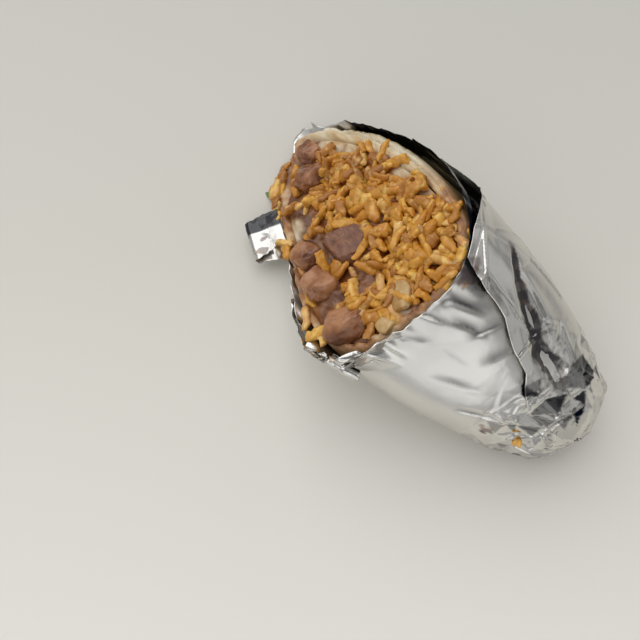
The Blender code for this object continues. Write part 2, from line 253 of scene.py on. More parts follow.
def rampNode(tree, value, stops, smooth=False):
    node = addNode(tree, "ShaderNodeValToRGB", None, {0: value})
    node.color_ramp.interpolation = "EASE" if smooth else "LINEAR"
    elements = node.color_ramp.elements
    while len(elements) < len(stops):
        elements.new(0.5)
    for element, (position, colour) in zip(elements, stops):
        element.position = position
        element.color = colour if isinstance(colour, tuple) else (colour, colour, colour, 1.0)
    return node.outputs[0]


def attributeNode(tree, name):
    return addNode(tree, "ShaderNodeAttribute", {"attribute_name": name}).outputs["Fac"]


# ---------- crumpled foil: flat facets between creases ----------

foil = {
    "wall": 0.12,
    "aroundLength": 178.0,       # unrolled length of the foil round the roll
    "alongLength": 150.0,
    "tailAround": 96.0,          # the same, where the tail is gathered in
    "seam": ((17, 22, 25.5, 32, 39.5, 47.5, 53.5, 60, 66), (116, 106, 98, 94, 87, 84, 81.5, 79, 77)),
    "flapEnd": -98.0, "flapRise": 0.9, "flapLift": 1.1,
    "crumpleReach": 30.0,
    "collarAngle": 38.0, "collarSpread": 52.0, "collarOff": 2.4, "collarReach": 14.0,
    "collarStart": -27.0, "ruffleAngle": 166.0, "ruffleSpread": 42.0, "ruffleOff": 4.6, "ruffleReach": 10.0,
    "valley": ((17.5, 28.0, 36.0, 43.5, 51.5), (82, 80, 72, 65, 53)),
}


def facetField(sizeX, sizeY, seed, aroundLength, jitter=0.42):
    # a folded sheet of flat triangles, drawn in 0.25 mm cells: its heights, each flat's own shade and the creases between
    draw = random.Random(seed)
    alongLength = foil["alongLength"]
    columns, rows = round(aroundLength / sizeX), round(alongLength / sizeY)
    stepX, stepY = aroundLength / columns, alongLength / rows
    points, heights = [], []
    base = [[(draw.uniform(-jitter, jitter), draw.uniform(-jitter, jitter), draw.uniform(-1, 1))
             for _ in range(columns)] for _ in range(rows + 3)]
    for row in range(-1, rows + 2):
        for column in range(-2, columns + 3):
            x, y, height = base[row + 1][column % columns]
            offset = 0.5 * (row % 2)
            points.append(Vector(((column + offset + x) * stepX, (row + y) * stepY)))
            heights.append(height)
    vertices, _, triangles, original = geometry.delaunay_2d_cdt(points, [], [], 0, 1e-5)[:4]
    high = [heights[source[0]] if source else 0.0 for source in original]
    cell = 0.25
    wide, tall = int(aroundLength / cell), int(alongLength / cell)
    picture, shades, creases = (np.zeros((tall, wide)) for _ in range(3))
    pinched = {}
    for triangle in triangles:
        shade = draw.random()
        (ax, ay), (bx, by), (cx, cy) = (vertices[i][:2] for i in triangle)
        x0, x1 = max(0, int(min(ax, bx, cx) / cell)), min(wide, int(max(ax, bx, cx) / cell) + 2)
        y0, y1 = max(0, int(min(ay, by, cy) / cell)), min(tall, int(max(ay, by, cy) / cell) + 2)
        if x0 >= x1 or y0 >= y1:
            continue
        x = (np.arange(x0, x1) + 0.5)[None, :] * cell
        y = (np.arange(y0, y1) + 0.5)[:, None] * cell
        area = (bx - ax) * (cy - ay) - (cx - ax) * (by - ay)
        shareB = ((x - ax) * (cy - ay) - (cx - ax) * (y - ay)) / area
        shareC = ((bx - ax) * (y - ay) - (x - ax) * (by - ay)) / area
        inside = (shareB >= -1e-6) & (shareC >= -1e-6) & (shareB + shareC <= 1 + 1e-6)
        a, b, c = (high[i] for i in triangle)
        value = a + shareB * (b - a) + shareC * (c - a)
        picture[y0:y1, x0:x1] = np.where(inside, value, picture[y0:y1, x0:x1])
        shades[y0:y1, x0:x1] = np.where(inside, shade, shades[y0:y1, x0:x1])
        pinch = 0
        for i, share in enumerate((1 - shareB - shareC, shareB, shareC)):
            ends = (triangle[(i + 1) % 3], triangle[(i + 2) % 3])
            strength = pinched.setdefault(tuple(sorted(ends)), draw.choice((0.0, 0.0, -0.5, 0.6, 1.0)))
            base = (vertices[ends[0]] - vertices[ends[1]]).length
            pinch = pinch + strength * np.exp(-(share * abs(area) / base / 0.38) ** 2)
        creases[y0:y1, x0:x1] = np.where(inside, pinch, creases[y0:y1, x0:x1])
    return picture, shades, creases


def readField(picture, around, along):         # around and along in mm on the unrolled sheet
    tall, wide = picture.shape
    x, y = around / 0.25 - 0.5, np.clip(along / 0.25 - 0.5, 0, tall - 1.001)
    x0, y0 = np.floor(x).astype(int), np.floor(y).astype(int)
    fx, fy = x - x0, y - y0
    a, b = picture[y0, x0 % wide], picture[y0, (x0 + 1) % wide]
    c, d = picture[y0 + 1, x0 % wide], picture[y0 + 1, (x0 + 1) % wide]
    return (a * (1 - fx) + b * fx) * (1 - fy) + (c * (1 - fx) + d * fx) * fy


wholeSheet, tailSheet = foil["aroundLength"], foil["tailAround"]
fields, shades, creases = {}, {}, {}
for key, sizes in {
    "coarse": (12.0, 12.0, 11, wholeSheet), "fine": (4.8, 4.8, 23, wholeSheet), "tiny": (2.2, 2.2, 37, wholeSheet),
    "long": (7.0, 26.0, 41, wholeSheet), "tail": (8.0, 9.0, 52, tailSheet), "tailFine": (3.4, 3.8, 61, tailSheet),
}.items():
    fields[key], shades[key], creases[key] = facetField(*sizes)
stage("folded sheets drawn")


def seamAt(distance):
    return np.interp(distance, *foil["seam"])


dents = [  # soft creases in the smooth side: angle, distance, half length, half width, turn, depth
    (104, 53.4, 6.5, 1.6, 186, 0.40), (96, 48.5, 7.5, 3.0, 66, 0.75), (103, 44.0, 7.0, 2.4, 70, 0.60), (111, 50.0, 8.0, 2.0, 62, 0.40),
    (116, 55.5, 7.0, 1.8, 58, 0.45), (129, 51.5, 5.5, 1.6, 52, 0.40), (135, 36.0, 8.5, 1.6, 60, 0.45),
    (97, 40.0, 7.0, 2.4, 20, 0.50), (103, 33.0, 7.0, 2.4, 15, 0.50), (146, 27.0, 6.0, 1.6, 60, 0.45),
    (122, 41.0, 5.0, 1.6, 80, 0.16), (170, 58.0, 9.0, 3.0, 40, 0.35),
    (190, 48.0, 10.0, 3.0, 70, 0.35), (205, 70.0, 9.0, 3.0, 20, 0.35),
]


def dentDepth(angle, distance):                # how deep, and the painted shade along the sharp side
    scale = foil["aroundLength"] / 360.0
    total, shade = (np.zeros(np.broadcast(angle, distance).shape) for _ in range(2))
    for middle, away, halfLength, halfWidth, turn, depth in dents:
        x = ((angle - middle + 180.0) % 360.0 - 180.0) * scale
        y = distance - away
        c, s = math.cos(math.radians(turn)), math.sin(math.radians(turn))
        u, v = (x * c + y * s) / halfLength, (-x * s + y * c) / halfWidth
        lens = np.clip(1 - u * u, 0, 1) ** 1.5
        side = np.where(v > 0, np.exp(-v * v * 0.9), np.exp(-v * v * 9.0))
        total += 0.75 * depth * lens * side
        shade = np.maximum(shade, min(1.0, 1.6 * depth) * lens * np.where(v > 0, np.exp(-v * v * 2.0), np.exp(-v * v * 60.0)))
    return total, shade


def tailAt(distance):
    return ramp(foil["crumpleReach"] - distance, 0, foil["crumpleReach"] - 12.0)


def crumple(angle, distance, onFlap=False):
    # outward height of the folds, all in millimetres
    around = angle / 360.0 * foil["aroundLength"]
    tail = tailAt(distance)
    folds = -0.6 + 0.9 * bump(angle, 50.0, 80.0)
    for key, rise, pinch in (("tail", 1.3, 0.50), ("tailFine", 0.55, 0.30)):
        gathered = gatheredAt(angle, distance, key)
        folds = folds + rise * readField(fields[key], gathered, distance) + pinch * readField(creases[key], gathered, distance)
    height = tail * np.maximum(folds, -1.6)
    smooth = 1 - tail
    height = height + smooth * 0.28 * readField(fields["coarse"], around, distance)
    if onFlap:
        streaks = readField(fields["long"], around + 0.35 * distance, distance)
        sharp = readField(creases["long"], around + 0.35 * distance, distance)
        height = height + smooth * (0.55 * streaks + 0.42 * sharp + 0.10 * readField(fields["fine"], around, distance))
    else:
        height = height + smooth * 0.04 * readField(fields["fine"], around, distance) - dentDepth(angle, distance)[0]
    return height


blackFlats = {  # flats painted dark as painted reflections of a dark room: angle, distance and depth of shade
    "tail": [(-25, 14.0, 0.6), (232, 13.0, 0.6)],
    "tailFine": [(61, 13.5, 1.0), (57, 12.0, 0.9), (64, 12.0, 0.95), (62, 16.0, 0.8), (59, 14.8, 0.95), (66, 14.5, 0.6), (72, 10.5, 0.95), (75, 13.5, 0.6), (89, 7.0, 1.0), (93, 6.0, 1.0), (98, 8.0, 0.7), (104, 23.0, 0.9),
                 (99, 21.0, 0.6), (97, 15.5, 0.9), (101, 13.5, 0.6), (84, 13.5, 0.7), (124, 11.0, 0.7), (138, 18.0, 0.6),
                 (147, 21.0, 0.5), (110, 10.0, 0.6), (42, 20.0, 0.6), (30, 12.0, 0.8), (8, 16.0, 0.8), (-60, 18.0, 0.8),
                 (205, 20.0, 0.8), (180, 9.0, 0.8), (165, 14.0, 0.6), (250, 18.0, 0.7)],
}
tailShift = {"tail": 0.12, "tailFine": 0.0}    # how far the folds run round for each millimetre along


def gatheredAt(angle, distance, key):
    return angle / 360.0 * foil["tailAround"] + tailShift[key] * distance


def blackPicture(key):
    picture = np.zeros(shades[key].shape)
    tall, wide = picture.shape
    for angle, distance, depth in blackFlats[key]:
        own = shades[key][int(distance / 0.25), int(gatheredAt(angle, distance, key) / 0.25) % wide]
        picture = np.maximum(picture, depth * (shades[key] == own))
    return picture


blacks = {key: blackPicture(key) for key in blackFlats}


# painted reflections on the tail: the listed flats painted black, and a random share of the other flats painted grey
def darkFlats(angle, distance):
    total = np.zeros(np.broadcast(angle, distance).shape)
    for key, share in (("tail", 0.25), ("tailFine", 0.30)):
        around = gatheredAt(angle, distance, key)
        total = np.maximum(total, readField(blacks[key], around, distance))
        total = np.maximum(total, share * ramp(readField(shades[key], around, distance), 0.55, 0.4))
    return total * ramp(foil["crumpleReach"] - 3.0 - distance, 0, 5.0)


# torn points of the edge: angle, reach, spread
tips = ((-47, 1.5, 1.8), (-55, 0.6, 4.0), (-24, 0.9, 3.0), (-12, 0.6, 4.0), (20, 0.7, 3.5))


def edgeReach(angle):                          # how far the foil's edge stands past the cut
    under = bump(angle, -103.0, 46.0)
    top = bump(angle, -45.0, 28.0)
    ruffle = bump(angle, foil["ruffleAngle"], foil["ruffleSpread"])
    torn = sum(reach * bump(angle, middle, spread) for middle, reach, spread in tips)
    return 0.5 - 1.9 * under ** 0.5 - 0.9 * top + 0.9 * ruffle + torn


def standOff(angle, back, wave):
    collar = bump(angle, foil["collarAngle"], foil["collarSpread"]) * (1 - ramp(back, 0, foil["collarReach"]))
    ruffle = bump(angle, foil["ruffleAngle"], foil["ruffleSpread"]) * (1 - ramp(back, 0, foil["ruffleReach"]))
    return foil["collarOff"] * collar + foil["ruffleOff"] * ruffle * (0.8 + 0.6 * wave)


def displaced(points, height, closedRound=True):
    # moves a grid along its own normals
    if closedRound:
        around = np.roll(points, -1, axis=1) - np.roll(points, 1, axis=1)
    else:
        around = np.gradient(points, axis=1)
    along = np.gradient(points, axis=0)
    normal = np.cross(around, along)
    length = np.linalg.norm(normal, axis=-1, keepdims=True)
    normal = normal / np.maximum(length, 1e-9)
    outward = points - skinMiddle(points)
    sign = np.sign((normal * outward).sum(axis=-1, keepdims=True).mean())
    return points + sign * normal * height[..., None]


def skinMiddle(points):                        # the roll's own axis beside each point
    distance = -points[..., 0]
    taper = 1 - (1 - np.clip(distance / roll["taperLength"], 0, 1)) ** roll["taperPower"]
    halfHeight = roll["tailHalfHeight"] + (roll["halfHeight"] - roll["tailHalfHeight"]) * taper
    y = roll["sway"] * (1 - taper)
    return np.stack((points[..., 0], y, halfHeight * (1 - roll["flat"])), axis=-1)


def onFloor(points, low=0.06):
    points[..., 2] = np.where(points[..., 2] < low, low + 0.0 * points[..., 2], points[..., 2])
    return points


def foilRows(cut, start, count, tailCount):
    # distances from the cut to the closed end: even along the side, then round the end
    rounding = roll["endRounding"]
    side = [start + (rounding - start) * i / count for i in range(count)]
    cap = [rounding * (1 - math.cos(math.pi / 2 * (1 - i / tailCount))) + 0 * cut for i in range(tailCount)]
    return np.array(side + cap)


stains = [  # grease and sauce on the foil: angle, distance, radius, strength
    (85, 53.2, 3.6, 0.9), (91, 55.8, 2.2, 0.8), (79, 55.0, 2.2, 0.7), (152, 21.0, 2.2, 0.7), (158, 21.0, 1.4, 0.9),
    (56, 48.5, 1.2, 0.7), (170, 84.0, 4.0, 0.6), (204, 88.0, 5.0, 0.7),
    (34, 68.0, 1.6, 0.5), (45, 66.5, 1.8, 0.6), (52, 65.5, 1.2, 0.6),
]


def stainAt(angle, distance):
    scale = foil["aroundLength"] / 360.0
    around = (angle * scale)
    points = np.stack((around, distance, 0 * distance), axis=-1)
    rough = 0.45 * noiseAt(points, 1.6, 3.0)
    total = np.zeros(np.shape(distance))
    for middle, away, radius, strength in stains:
        x = ((angle - middle + 180.0) % 360.0 - 180.0) * scale
        reach = np.hypot(x, distance - away) / radius
        total = np.maximum(total, strength * (1 - ramp(reach + rough, 0.55, 0.4)))
    return total


def makeInnerFoil(material):
    columns, sideRows, capRows = 300, 176, 24
    angle = np.linspace(0, 360, columns, endpoint=False)
    around = angle / 360 * foil["aroundLength"]
    wave = noiseAt(np.stack((around / 1.0, 0 * around, 0 * around), axis=-1), 2.6, 9.1)
    raggedness = readField(fields["tiny"], around, 20.0 + 0 * around)
    ruffle = bump(angle, foil["ruffleAngle"], foil["ruffleSpread"])
    reach = edgeReach(angle) + 0.4 * raggedness * (1 + 1.2 * ruffle) + 0.3 * wave
    cut = cutAt(angle, 0.0, reach)
    distance = foilRows(cut, cut, sideRows, capRows)
    back = cut[None, :] - distance
    angles = np.broadcast_to(angle, distance.shape)
    off = standOff(angles, back, wave[None, :])
    points = skin(distance, angles, -off)
    height = crumple(angles, distance)
    ripple = noiseAt(np.stack((np.broadcast_to(around, back.shape), back / 9.0, 0 * back), axis=-1), 2.3, 3.3)
    nearCut = 1 - ramp(back, 0, 9.0)
    stiff = 1 - 0.6 * bump(angle, foil["collarAngle"], foil["collarSpread"])
    height = height + 0.28 * ripple * nearCut * (stiff + 2.2 * ruffle)[None, :]
    folded = readField(fields["fine"], np.broadcast_to(around, back.shape), back + 40.0)
    height = height + 1.1 * folded * ruffle[None, :] * nearCut
    outside = displaced(points, height)
    inside = displaced(points, height - foil["wall"])
    keep = list(range(0, 30)) + list(range(30, sideRows + capRows, 9))
    inside = inside[keep]
    inside = inside - 0.25 * unit(inside - skinMiddle(inside)) * (np.array(keep) > 30)[:, None, None]
    rings = np.concatenate((onFloor(outside)[::-1], onFloor(inside, 0.18)))
    poles = [skin(np.array(0.0), np.array(0.0), 0.0) + (1.5, 0, 0), skin(np.array(3.0), np.array(0.0), 0.0, 3.0)]
    mesh = gridMesh("foil_inner_layer", rings, True, poles)
    faceOutwards(mesh)
    # painted reflection: a band round the cut painted near-black, broken by lighter painted streaks and specks
    streak = noiseAt(np.stack((angles * 0.9, back / 26.0, 0 * back), axis=-1), 2.4, 6.1)
    fromTop = (angles + 180.0) % 360.0 - 180.0
    collar = ramp(fromTop, foil["collarStart"], 5) * (1 - ramp(fromTop, 78, 16)) * (1 - ramp(back, 8.0, 2.5))
    sparks = ramp(readField(shades["tiny"], angles / 360 * foil["aroundLength"] * 0.5, back + 20.0), 0.93, 0.03)
    dark = collar * np.clip(1.0 - 0.32 * np.clip(streak, 0, 1) ** 2 - 0.8 * sparks, 0, 1)
    # painted dark reflections on the tail's facets, and painted shade along the dents' sharp sides
    dark = np.maximum(dark, darkFlats(angles, distance))
    dark = np.maximum(dark, 0.8 * dentDepth(angles, distance)[1] * (1 - tailAt(distance)))
    crumpled = np.maximum(tailAt(distance), np.maximum(ruffle[None, :] * nearCut, collar))

    def forBothSides(values):
        return np.concatenate((values[::-1].ravel(), values[keep].ravel(), (values[-1].mean(),) * 2))

    paint(mesh, "painted_shade_and_reflection", forBothSides(dark))
    paint(mesh, "crumpled", forBothSides(crumpled))
    paint(mesh, "stains_and_painted_shade", forBothSides(stainAt(angles, distance)))
    return addObject("foil_inner_layer", mesh, material)


def makeFlap(material):
    columns, sideRows, capRows = 170, 170, 20
    share = np.linspace(0, 1, columns)
    top = seamAt(58.0)
    rough = top + (foil["flapEnd"] - top) * share
    setback = 0.7 + 7.2 * ramp(76.0 - rough, 4.0, 38.0) + 0.4 * noiseAt(
        np.stack((rough / 2.0, 0 * rough, 0 * rough), axis=-1), 3.0, 5.5)
    cut = cutAt(rough, 0.0, 0.7)
    start = cut - setback
    distance = foilRows(cut, start, sideRows, capRows)
    edge = seamAt(distance) + 1.2 * noiseAt(np.stack((distance, 0 * distance, 0 * distance), axis=-1), 9.0, 1.2)
    angles = edge + (foil["flapEnd"] - edge) * share[None, :]
    back = cut[None, :] - distance
    off = standOff(angles, back, 0 * back)
    points = skin(distance, angles, -off)
    height = crumple(angles, distance, True)
    fromSeam = share[None, :] * 96.0
    fromCut = (start[None, :] - distance)
    lift = foil["flapLift"] * np.exp(-fromSeam / 3.2) * (0.6 + 0.5 * noiseAt(
        np.stack((distance, 0 * distance, 0 * distance), axis=-1), 7.0, 8.2))
    lift = lift + 0.7 * np.exp(-np.clip(fromCut, 0, None) / 2.5)
    middle = np.interp(distance, *foil["valley"])
    ends = ramp(distance, 13, 5) * (1 - ramp(distance, 50, 4))
    wobble = 1.0 * noiseAt(np.stack((distance, 0 * distance, 0 * distance), axis=-1), 5.0, 4.4)
    halfWidth = np.interp(distance, (16.0, 24.0, 36.0, 51.0), (8.5, 8.5, 5.5, 2.4))
    away = (angles - middle + wobble) / halfWidth
    valley = np.clip(1.25 - np.abs(away), 0, 1) * ends * np.clip(halfWidth / 6.0, 0, 1)
    ridge = (np.exp(-((away + 2.0) / 0.8) ** 2) + 0.7 * np.exp(-((away - 1.9) / 0.7) ** 2)) * ends
    ridge = ridge * (1 - ramp(distance, 34, 14))
    height = height + foil["flapRise"] + 1.3 * bump(angles, 32.0, 42.0) + lift - 1.0 * valley + 0.45 * ridge
    sheet = onFloor(displaced(points, height, False), 0.2)
    mesh = gridMesh("foil_outer_flap", sheet, False, None)
    faceOutwards(mesh)
    thing = addObject("foil_outer_flap", mesh, material)
    # painted shade down the flap's valley, lighter in flecks and towards the tail end; it darkens the foil and also
    # tints it brown through the stain film
    shadow = ramp(1.0 - np.abs(away + 0.3 * readField(fields["tiny"], angles * 0.5, distance)), 0.0, 0.2) * ends
    flecks = 0.7 * ramp(readField(shades["tiny"], angles * 0.5, distance), 0.45, 0.5)
    shadow = shadow * (0.84 - 0.22 * ramp(24.0 - distance, 0, 6.0) - 0.4 * flecks)
    paint(mesh, "painted_shade_and_reflection", np.maximum(darkFlats(angles, distance), np.clip(shadow, 0, 1)).ravel())
    paint(mesh, "crumpled", np.clip(tailAt(distance) + 0.6, 0, 1).ravel())
    paint(mesh, "stains_and_painted_shade", np.maximum(stainAt(angles, distance), 0.9 * np.clip(shadow, 0, 1)).ravel())
    return thicken(thing, foil["wall"])


def makeFoilMaterial():
    # household aluminium foil: satin where it lies smooth, mirror-bright on the facets of each crumple
    material, tree, shader = newMaterial("kitchen_foil")
    place = addNode(tree, "ShaderNodeTexCoord").outputs["Object"]
    grain = addNode(tree, "ShaderNodeTexNoise", None,
                    {"Vector": place, "Scale": 320.0, "Detail": 6.0, "Roughness": 0.6}).outputs["Fac"]
    wide = addNode(tree, "ShaderNodeTexNoise", None,
                   {"Vector": place, "Scale": 70.0, "Detail": 3.0}).outputs["Fac"]
    crumpled, dark, stains_and_painted_shade = (attributeNode(tree, name) for name in ("crumpled", "painted_shade_and_reflection", "stains_and_painted_shade"))
    satin = rampNode(tree, crumpled, ((0.0, 0.31), (1.0, 0.12)))
    greasy = addNode(tree, "ShaderNodeMath", {"operation": "MULTIPLY_ADD"}, {0: stains_and_painted_shade, 1: 0.25, 2: satin})
    tree.links.new(greasy.outputs[0], shader.inputs["Roughness"])
    bright = blendColours(tree, wide, linear("#cfcdc8"), linear("#dfddd8"))
    film = rampNode(tree, grain, ((0.40, linear("#5d4c48")), (0.56, linear("#77625a")), (0.64, linear("#b58a4c"))))
    # stain film: real grease and sauce stains, and on the flap a brown tint laid along the valley's painted shade
    marked = blendColours(tree, stains_and_painted_shade, bright, film)
    # painted dark reflections and painted shade: the attribute read as dark above turns the foil's base colour
    # near-black
    tree.links.new(blendColours(tree, dark, marked, linear("#0b121f")), shader.inputs["Base Color"])
    metal = rampNode(tree, stains_and_painted_shade, ((0.0, 1.0), (1.0, 0.55)))
    tree.links.new(metal, shader.inputs["Metallic"])
    cells = addNode(tree, "ShaderNodeTexVoronoi", {"feature": "F1"},
                    {"Vector": place, "Scale": 420.0}).outputs["Distance"]
    low = addNode(tree, "ShaderNodeBump", None, {"Strength": 0.12, "Distance": 0.0004, "Height": grain})
    high = addNode(tree, "ShaderNodeBump", None,
                   {"Strength": 0.04, "Distance": 0.0005, "Height": cells, "Normal": low.outputs[0]})
    tree.links.new(high.outputs[0], shader.inputs["Normal"])
    return material


foilBits = {
    "curlAngle": 163.0, "curlSetback": 1.0, "curlSlope": 0.32, "curlWidths": (9.0, 10.0),
    "curlRadius": 1.6, "curlTurns": 1.5, "curlStart": 1.2,
    "tabAngle": -121.0, "tabWidths": (19.0, 11.0),
    "tabFolds": ((-0.8, -0.4), (1.4, -0.2), (4.4, 0.5), (7.8, 0.1), (10.2, -0.8), (11.2, 0.3),
                 (10.0, 1.5), (6.8, 1.9), (3.8, 3.2)),
    "lipAngles": (132.0, 204.0), "lipBack": 3.4, "lipReach": 1.7, "lipCrumple": 1.0,
}


def sheetOf(name, points, facets, depth, material, shift=0.0, bright=0.8, shadeFrom=2.0):
    # a crumpled sheet from a grid of points: moved along its own normals by the folds, then given its wall
    rows, columns = points.shape[:2]
    along = np.cumsum(np.concatenate(([0], np.linalg.norm(np.diff(points.mean(axis=1), axis=0), axis=1))))
    aside = np.cumsum(np.concatenate(([0], np.linalg.norm(np.diff(points.mean(axis=0), axis=0), axis=1))))
    height = readField(fields[facets], aside[None, :] + shift + 0 * along[:, None],
                       along[:, None] + shift * 0.6 + 10 + 0 * aside[None, :])
    fine = readField(fields["tiny"], aside[None, :] + 2 * shift + 0 * along[:, None],
                     along[:, None] + shift + 5 + 0 * aside[None, :])
    normal = unit(np.cross(np.gradient(points, axis=0), np.gradient(points, axis=1)))
    sheet = points + normal * (depth * height + 0.3 * depth * fine)[..., None]
    mesh = gridMesh(name, onFloor(sheet, 0.2), False, None)
    thing = addObject(name, mesh, material)
    grease = 0.6 * ramp(noiseAt(points, 3.0, shift), 0.42, 0.12)
    # painted dark reflection on the columns past shadeFrom; only the folded tab reaches it
    shadow = 0.9 * ramp(np.linspace(0, 1, columns) + 0.05 * height, shadeFrom, 0.04)
    for key, values in {"painted_shade_and_reflection": shadow, "crumpled": bright, "stains_and_painted_shade": grease}.items():
        paint(mesh, key, (values + np.zeros((rows, columns))).ravel())
    return thicken(thing, foil["wall"])


def smoothPath(path, count):
    path = np.array(path, float)
    reach = np.concatenate(([0], np.cumsum(np.linalg.norm(np.diff(path, axis=0), axis=1))))
    at = np.linspace(0, reach[-1], count)
    line = np.stack([np.interp(at, reach, path[:, i]) for i in range(2)], axis=1)
    soft = line.copy()
    soft[2:-2] = (line[:-4] + line[1:-3] + line[2:-2] + line[3:-1] + line[4:]) / 5
    return soft


def folded(path, widths, root, out, side, columns=40):
    along = unit(np.cross(out, side))
    share = np.linspace(0, 1, len(path))
    half = (widths[0] + (widths[1] - widths[0]) * share) / 2
    across = np.linspace(-1, 1, columns)
    edge = 0.9 * noiseAt(np.stack((share * 9, 0 * share, 0 * share), axis=-1), 1.0, 4.0)
    half = half[:, None] * np.abs(across)[None, :] + 0.7 * edge[:, None] * (np.abs(across) ** 6)[None, :]
    spine = root + path[:, :1] * out + path[:, 1:] * side
    return spine[:, None, :] + (half * np.sign(across)[None, :])[..., None] * along


def edgePoint(angle, back=0.0):
    angle = np.array(float(angle))
    off = standOff(angle, np.array(back), np.array(0.0))
    return skin(cutAt(angle, 0.3, 0.0) - back, angle, 0.3 - off)


def makeFoilBits(material):
    turn = math.radians(foilBits["curlAngle"])
    radial = np.array((0.0, math.cos(turn), math.sin(turn)))
    side = unit(radial + np.array((foilBits["curlSlope"], 0.0, 0.0)))
    way = np.array((0.0, -math.sin(turn), math.cos(turn)))
    path = [(-foilBits["curlStart"], 0.0)]
    for i in range(61):
        share = i / 60
        round_ = 2 * math.pi * foilBits["curlTurns"] * share
        tight = foilBits["curlRadius"] * (1 - 0.45 * share)
        path.append((tight * math.sin(round_), foilBits["curlRadius"] - tight * math.cos(round_)))
    curl = folded(smoothPath(path, 90), foilBits["curlWidths"],
                  edgePoint(foilBits["curlAngle"], foilBits["curlSetback"]), way, side)
    tabWay, upwards = unit(np.array((-0.45, -0.89, 0.0))), np.array((0.0, 0.0, 1.0))
    tab = folded(smoothPath(foilBits["tabFolds"], 90), foilBits["tabWidths"], edgePoint(foilBits["tabAngle"]),
                 tabWay, upwards, 90)
    angle = np.linspace(*foilBits["lipAngles"], 260)
    off = standOff(angle, 0 * angle, 0 * angle)
    edge = skin(cutAt(angle, 0.0, 0.0), angle, -off)
    outward = unit(edge - skinMiddle(edge))
    ragged = readField(fields["fine"], angle * 0.5, 30 + 0 * angle)
    fade = np.sin(np.linspace(0, math.pi, len(angle))) ** 0.4
    rows = []
    for share in np.linspace(0, 1, 44):
        forward = -foilBits["lipBack"] + share * (foilBits["lipBack"] + (foilBits["lipReach"] + 1.3 * ragged) * fade)
        spread = 0.3 + 1.5 * share ** 2
        rows.append(edge + forward[:, None] * faceOut + spread * outward)
    return [
        sheetOf("foil_rolled_tab", curl, "tiny", 0.35, material, 3.0),
        sheetOf("foil_folded_tab", tab, "coarse", 0.4, material, 11.0, 0.35, 0.66),
        sheetOf("foil_torn_lip", np.array(rows), "fine", foilBits["lipCrumple"], material, 7.0),
    ]


foilMaterial = makeFoilMaterial()
innerFoil = makeInnerFoil(foilMaterial)
stage("inner foil")
flap = makeFlap(foilMaterial)
stage("outer flap")
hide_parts("foil_wrap")
for piece in [innerFoil, flap] + makeFoilBits(foilMaterial):
    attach(piece, "root")


# ---------- tortilla ----------

tortilla = {
    "wall": 2.1, "lap": 3.1, "lapMiddle": 10.0, "lapSpread": 62.0, "paleMiddle": -10.0, "paleSpread": 76.0,
    "insideEnd": 12.5, "columns": 300, "lipRows": 24,
    "grooveDepth": 0.7, "grooveWidth": 0.3,
}


def wallAt(angle):
    return tortilla["wall"] + tortilla["lap"] * bump(angle, tortilla["lapMiddle"], tortilla["lapSpread"]) ** 0.5


def makeTortilla(material):
    angle = np.linspace(0, 360, tortilla["columns"], endpoint=False)
    ring = np.stack((30 * np.cos(np.radians(angle)), 30 * np.sin(np.radians(angle)), 0 * angle), axis=-1)
    wall = wallAt(angle) * (1 + 0.10 * noiseAt(ring, 14.0, 3.0)) + 0.25 * noiseAt(ring, 3.5, 5.0)
    outer = roll["foilGap"] + 0.15
    lapped = bump(angle, tortilla["lapMiddle"], tortilla["lapSpread"]) ** 0.5
    across = np.linspace(0, 1, tortilla["lipRows"])
    lip, layer = [], []
    for share in across:
        inset = outer + share * wall
        seam = 0.45 + 0.06 * noiseAt(ring, 9.0, 7.0)
        groove = tortilla["grooveDepth"] * lapped * np.exp(-((share - seam) * wall / tortilla["grooveWidth"]) ** 2)
        rounding = 0.7 * abs(2 * share - 1) ** 5
        spot = ring * (1 - 0.03 * share * wall[:, None])
        torn = 0.5 * noiseAt(spot, 4.0, 1.0) + 0.35 * noiseAt(spot, 1.6, 2.0) + 0.15 * noiseAt(spot, 0.7, 3.0)
        height = torn - groove - rounding + 0.3 * math.sin(math.pi * share)
        cut = cutAt(angle, inset, height)
        lip.append(skin(cut, angle, inset))
        layer.append(np.full_like(angle, share))
    outerCut, innerCut = -lip[0][:, 0], -lip[-1][:, 0]
    outside = []
    for i in range(1, 40):
        away = 0.5 * i if i < 20 else 0.0
        share = 0.0 if i < 20 else (i - 19) / 20
        start = outerCut - (10.0 if i >= 20 else away)
        end = roll["tortillaEnd"] + 0.2
        row = start + (end - start) * share ** 0.8
        outside.append(skin(row, angle, outer + 1.5 * ramp(40.0 - row, 0.0, 12.0), roll["tortillaEnd"]))
    inside = []
    for i in range(1, 30):
        share = i / 29
        row = innerCut + (tortilla["insideEnd"] + 0.2 - innerCut) * share ** 1.3
        inside.append(skin(row, angle, outer + wall + 1.5 * ramp(40.0 - row, 0.0, 12.0), tortilla["insideEnd"]))
    rings = np.array(outside[::-1] + lip + inside)
    poles = [skin(np.array(end), np.array(0.0), 0.0, end) for end in (roll["tortillaEnd"], tortilla["insideEnd"])]
    mesh = gridMesh("flour_tortilla", rings, True, poles)
    faceOutwards(mesh)
    layers = np.concatenate((np.zeros(len(outside) * len(angle)), np.array(layer).ravel(),
                             np.ones(len(inside) * len(angle)), (0.0, 1.0)))
    paint(mesh, "layer", layers)
    laps = np.tile(bump(angle, tortilla["paleMiddle"], tortilla["paleSpread"]) ** 0.5, len(rings))
    paint(mesh, "lapped", np.concatenate((laps, (0.0, 0.0))))
    return addObject("flour_tortilla", mesh, material)


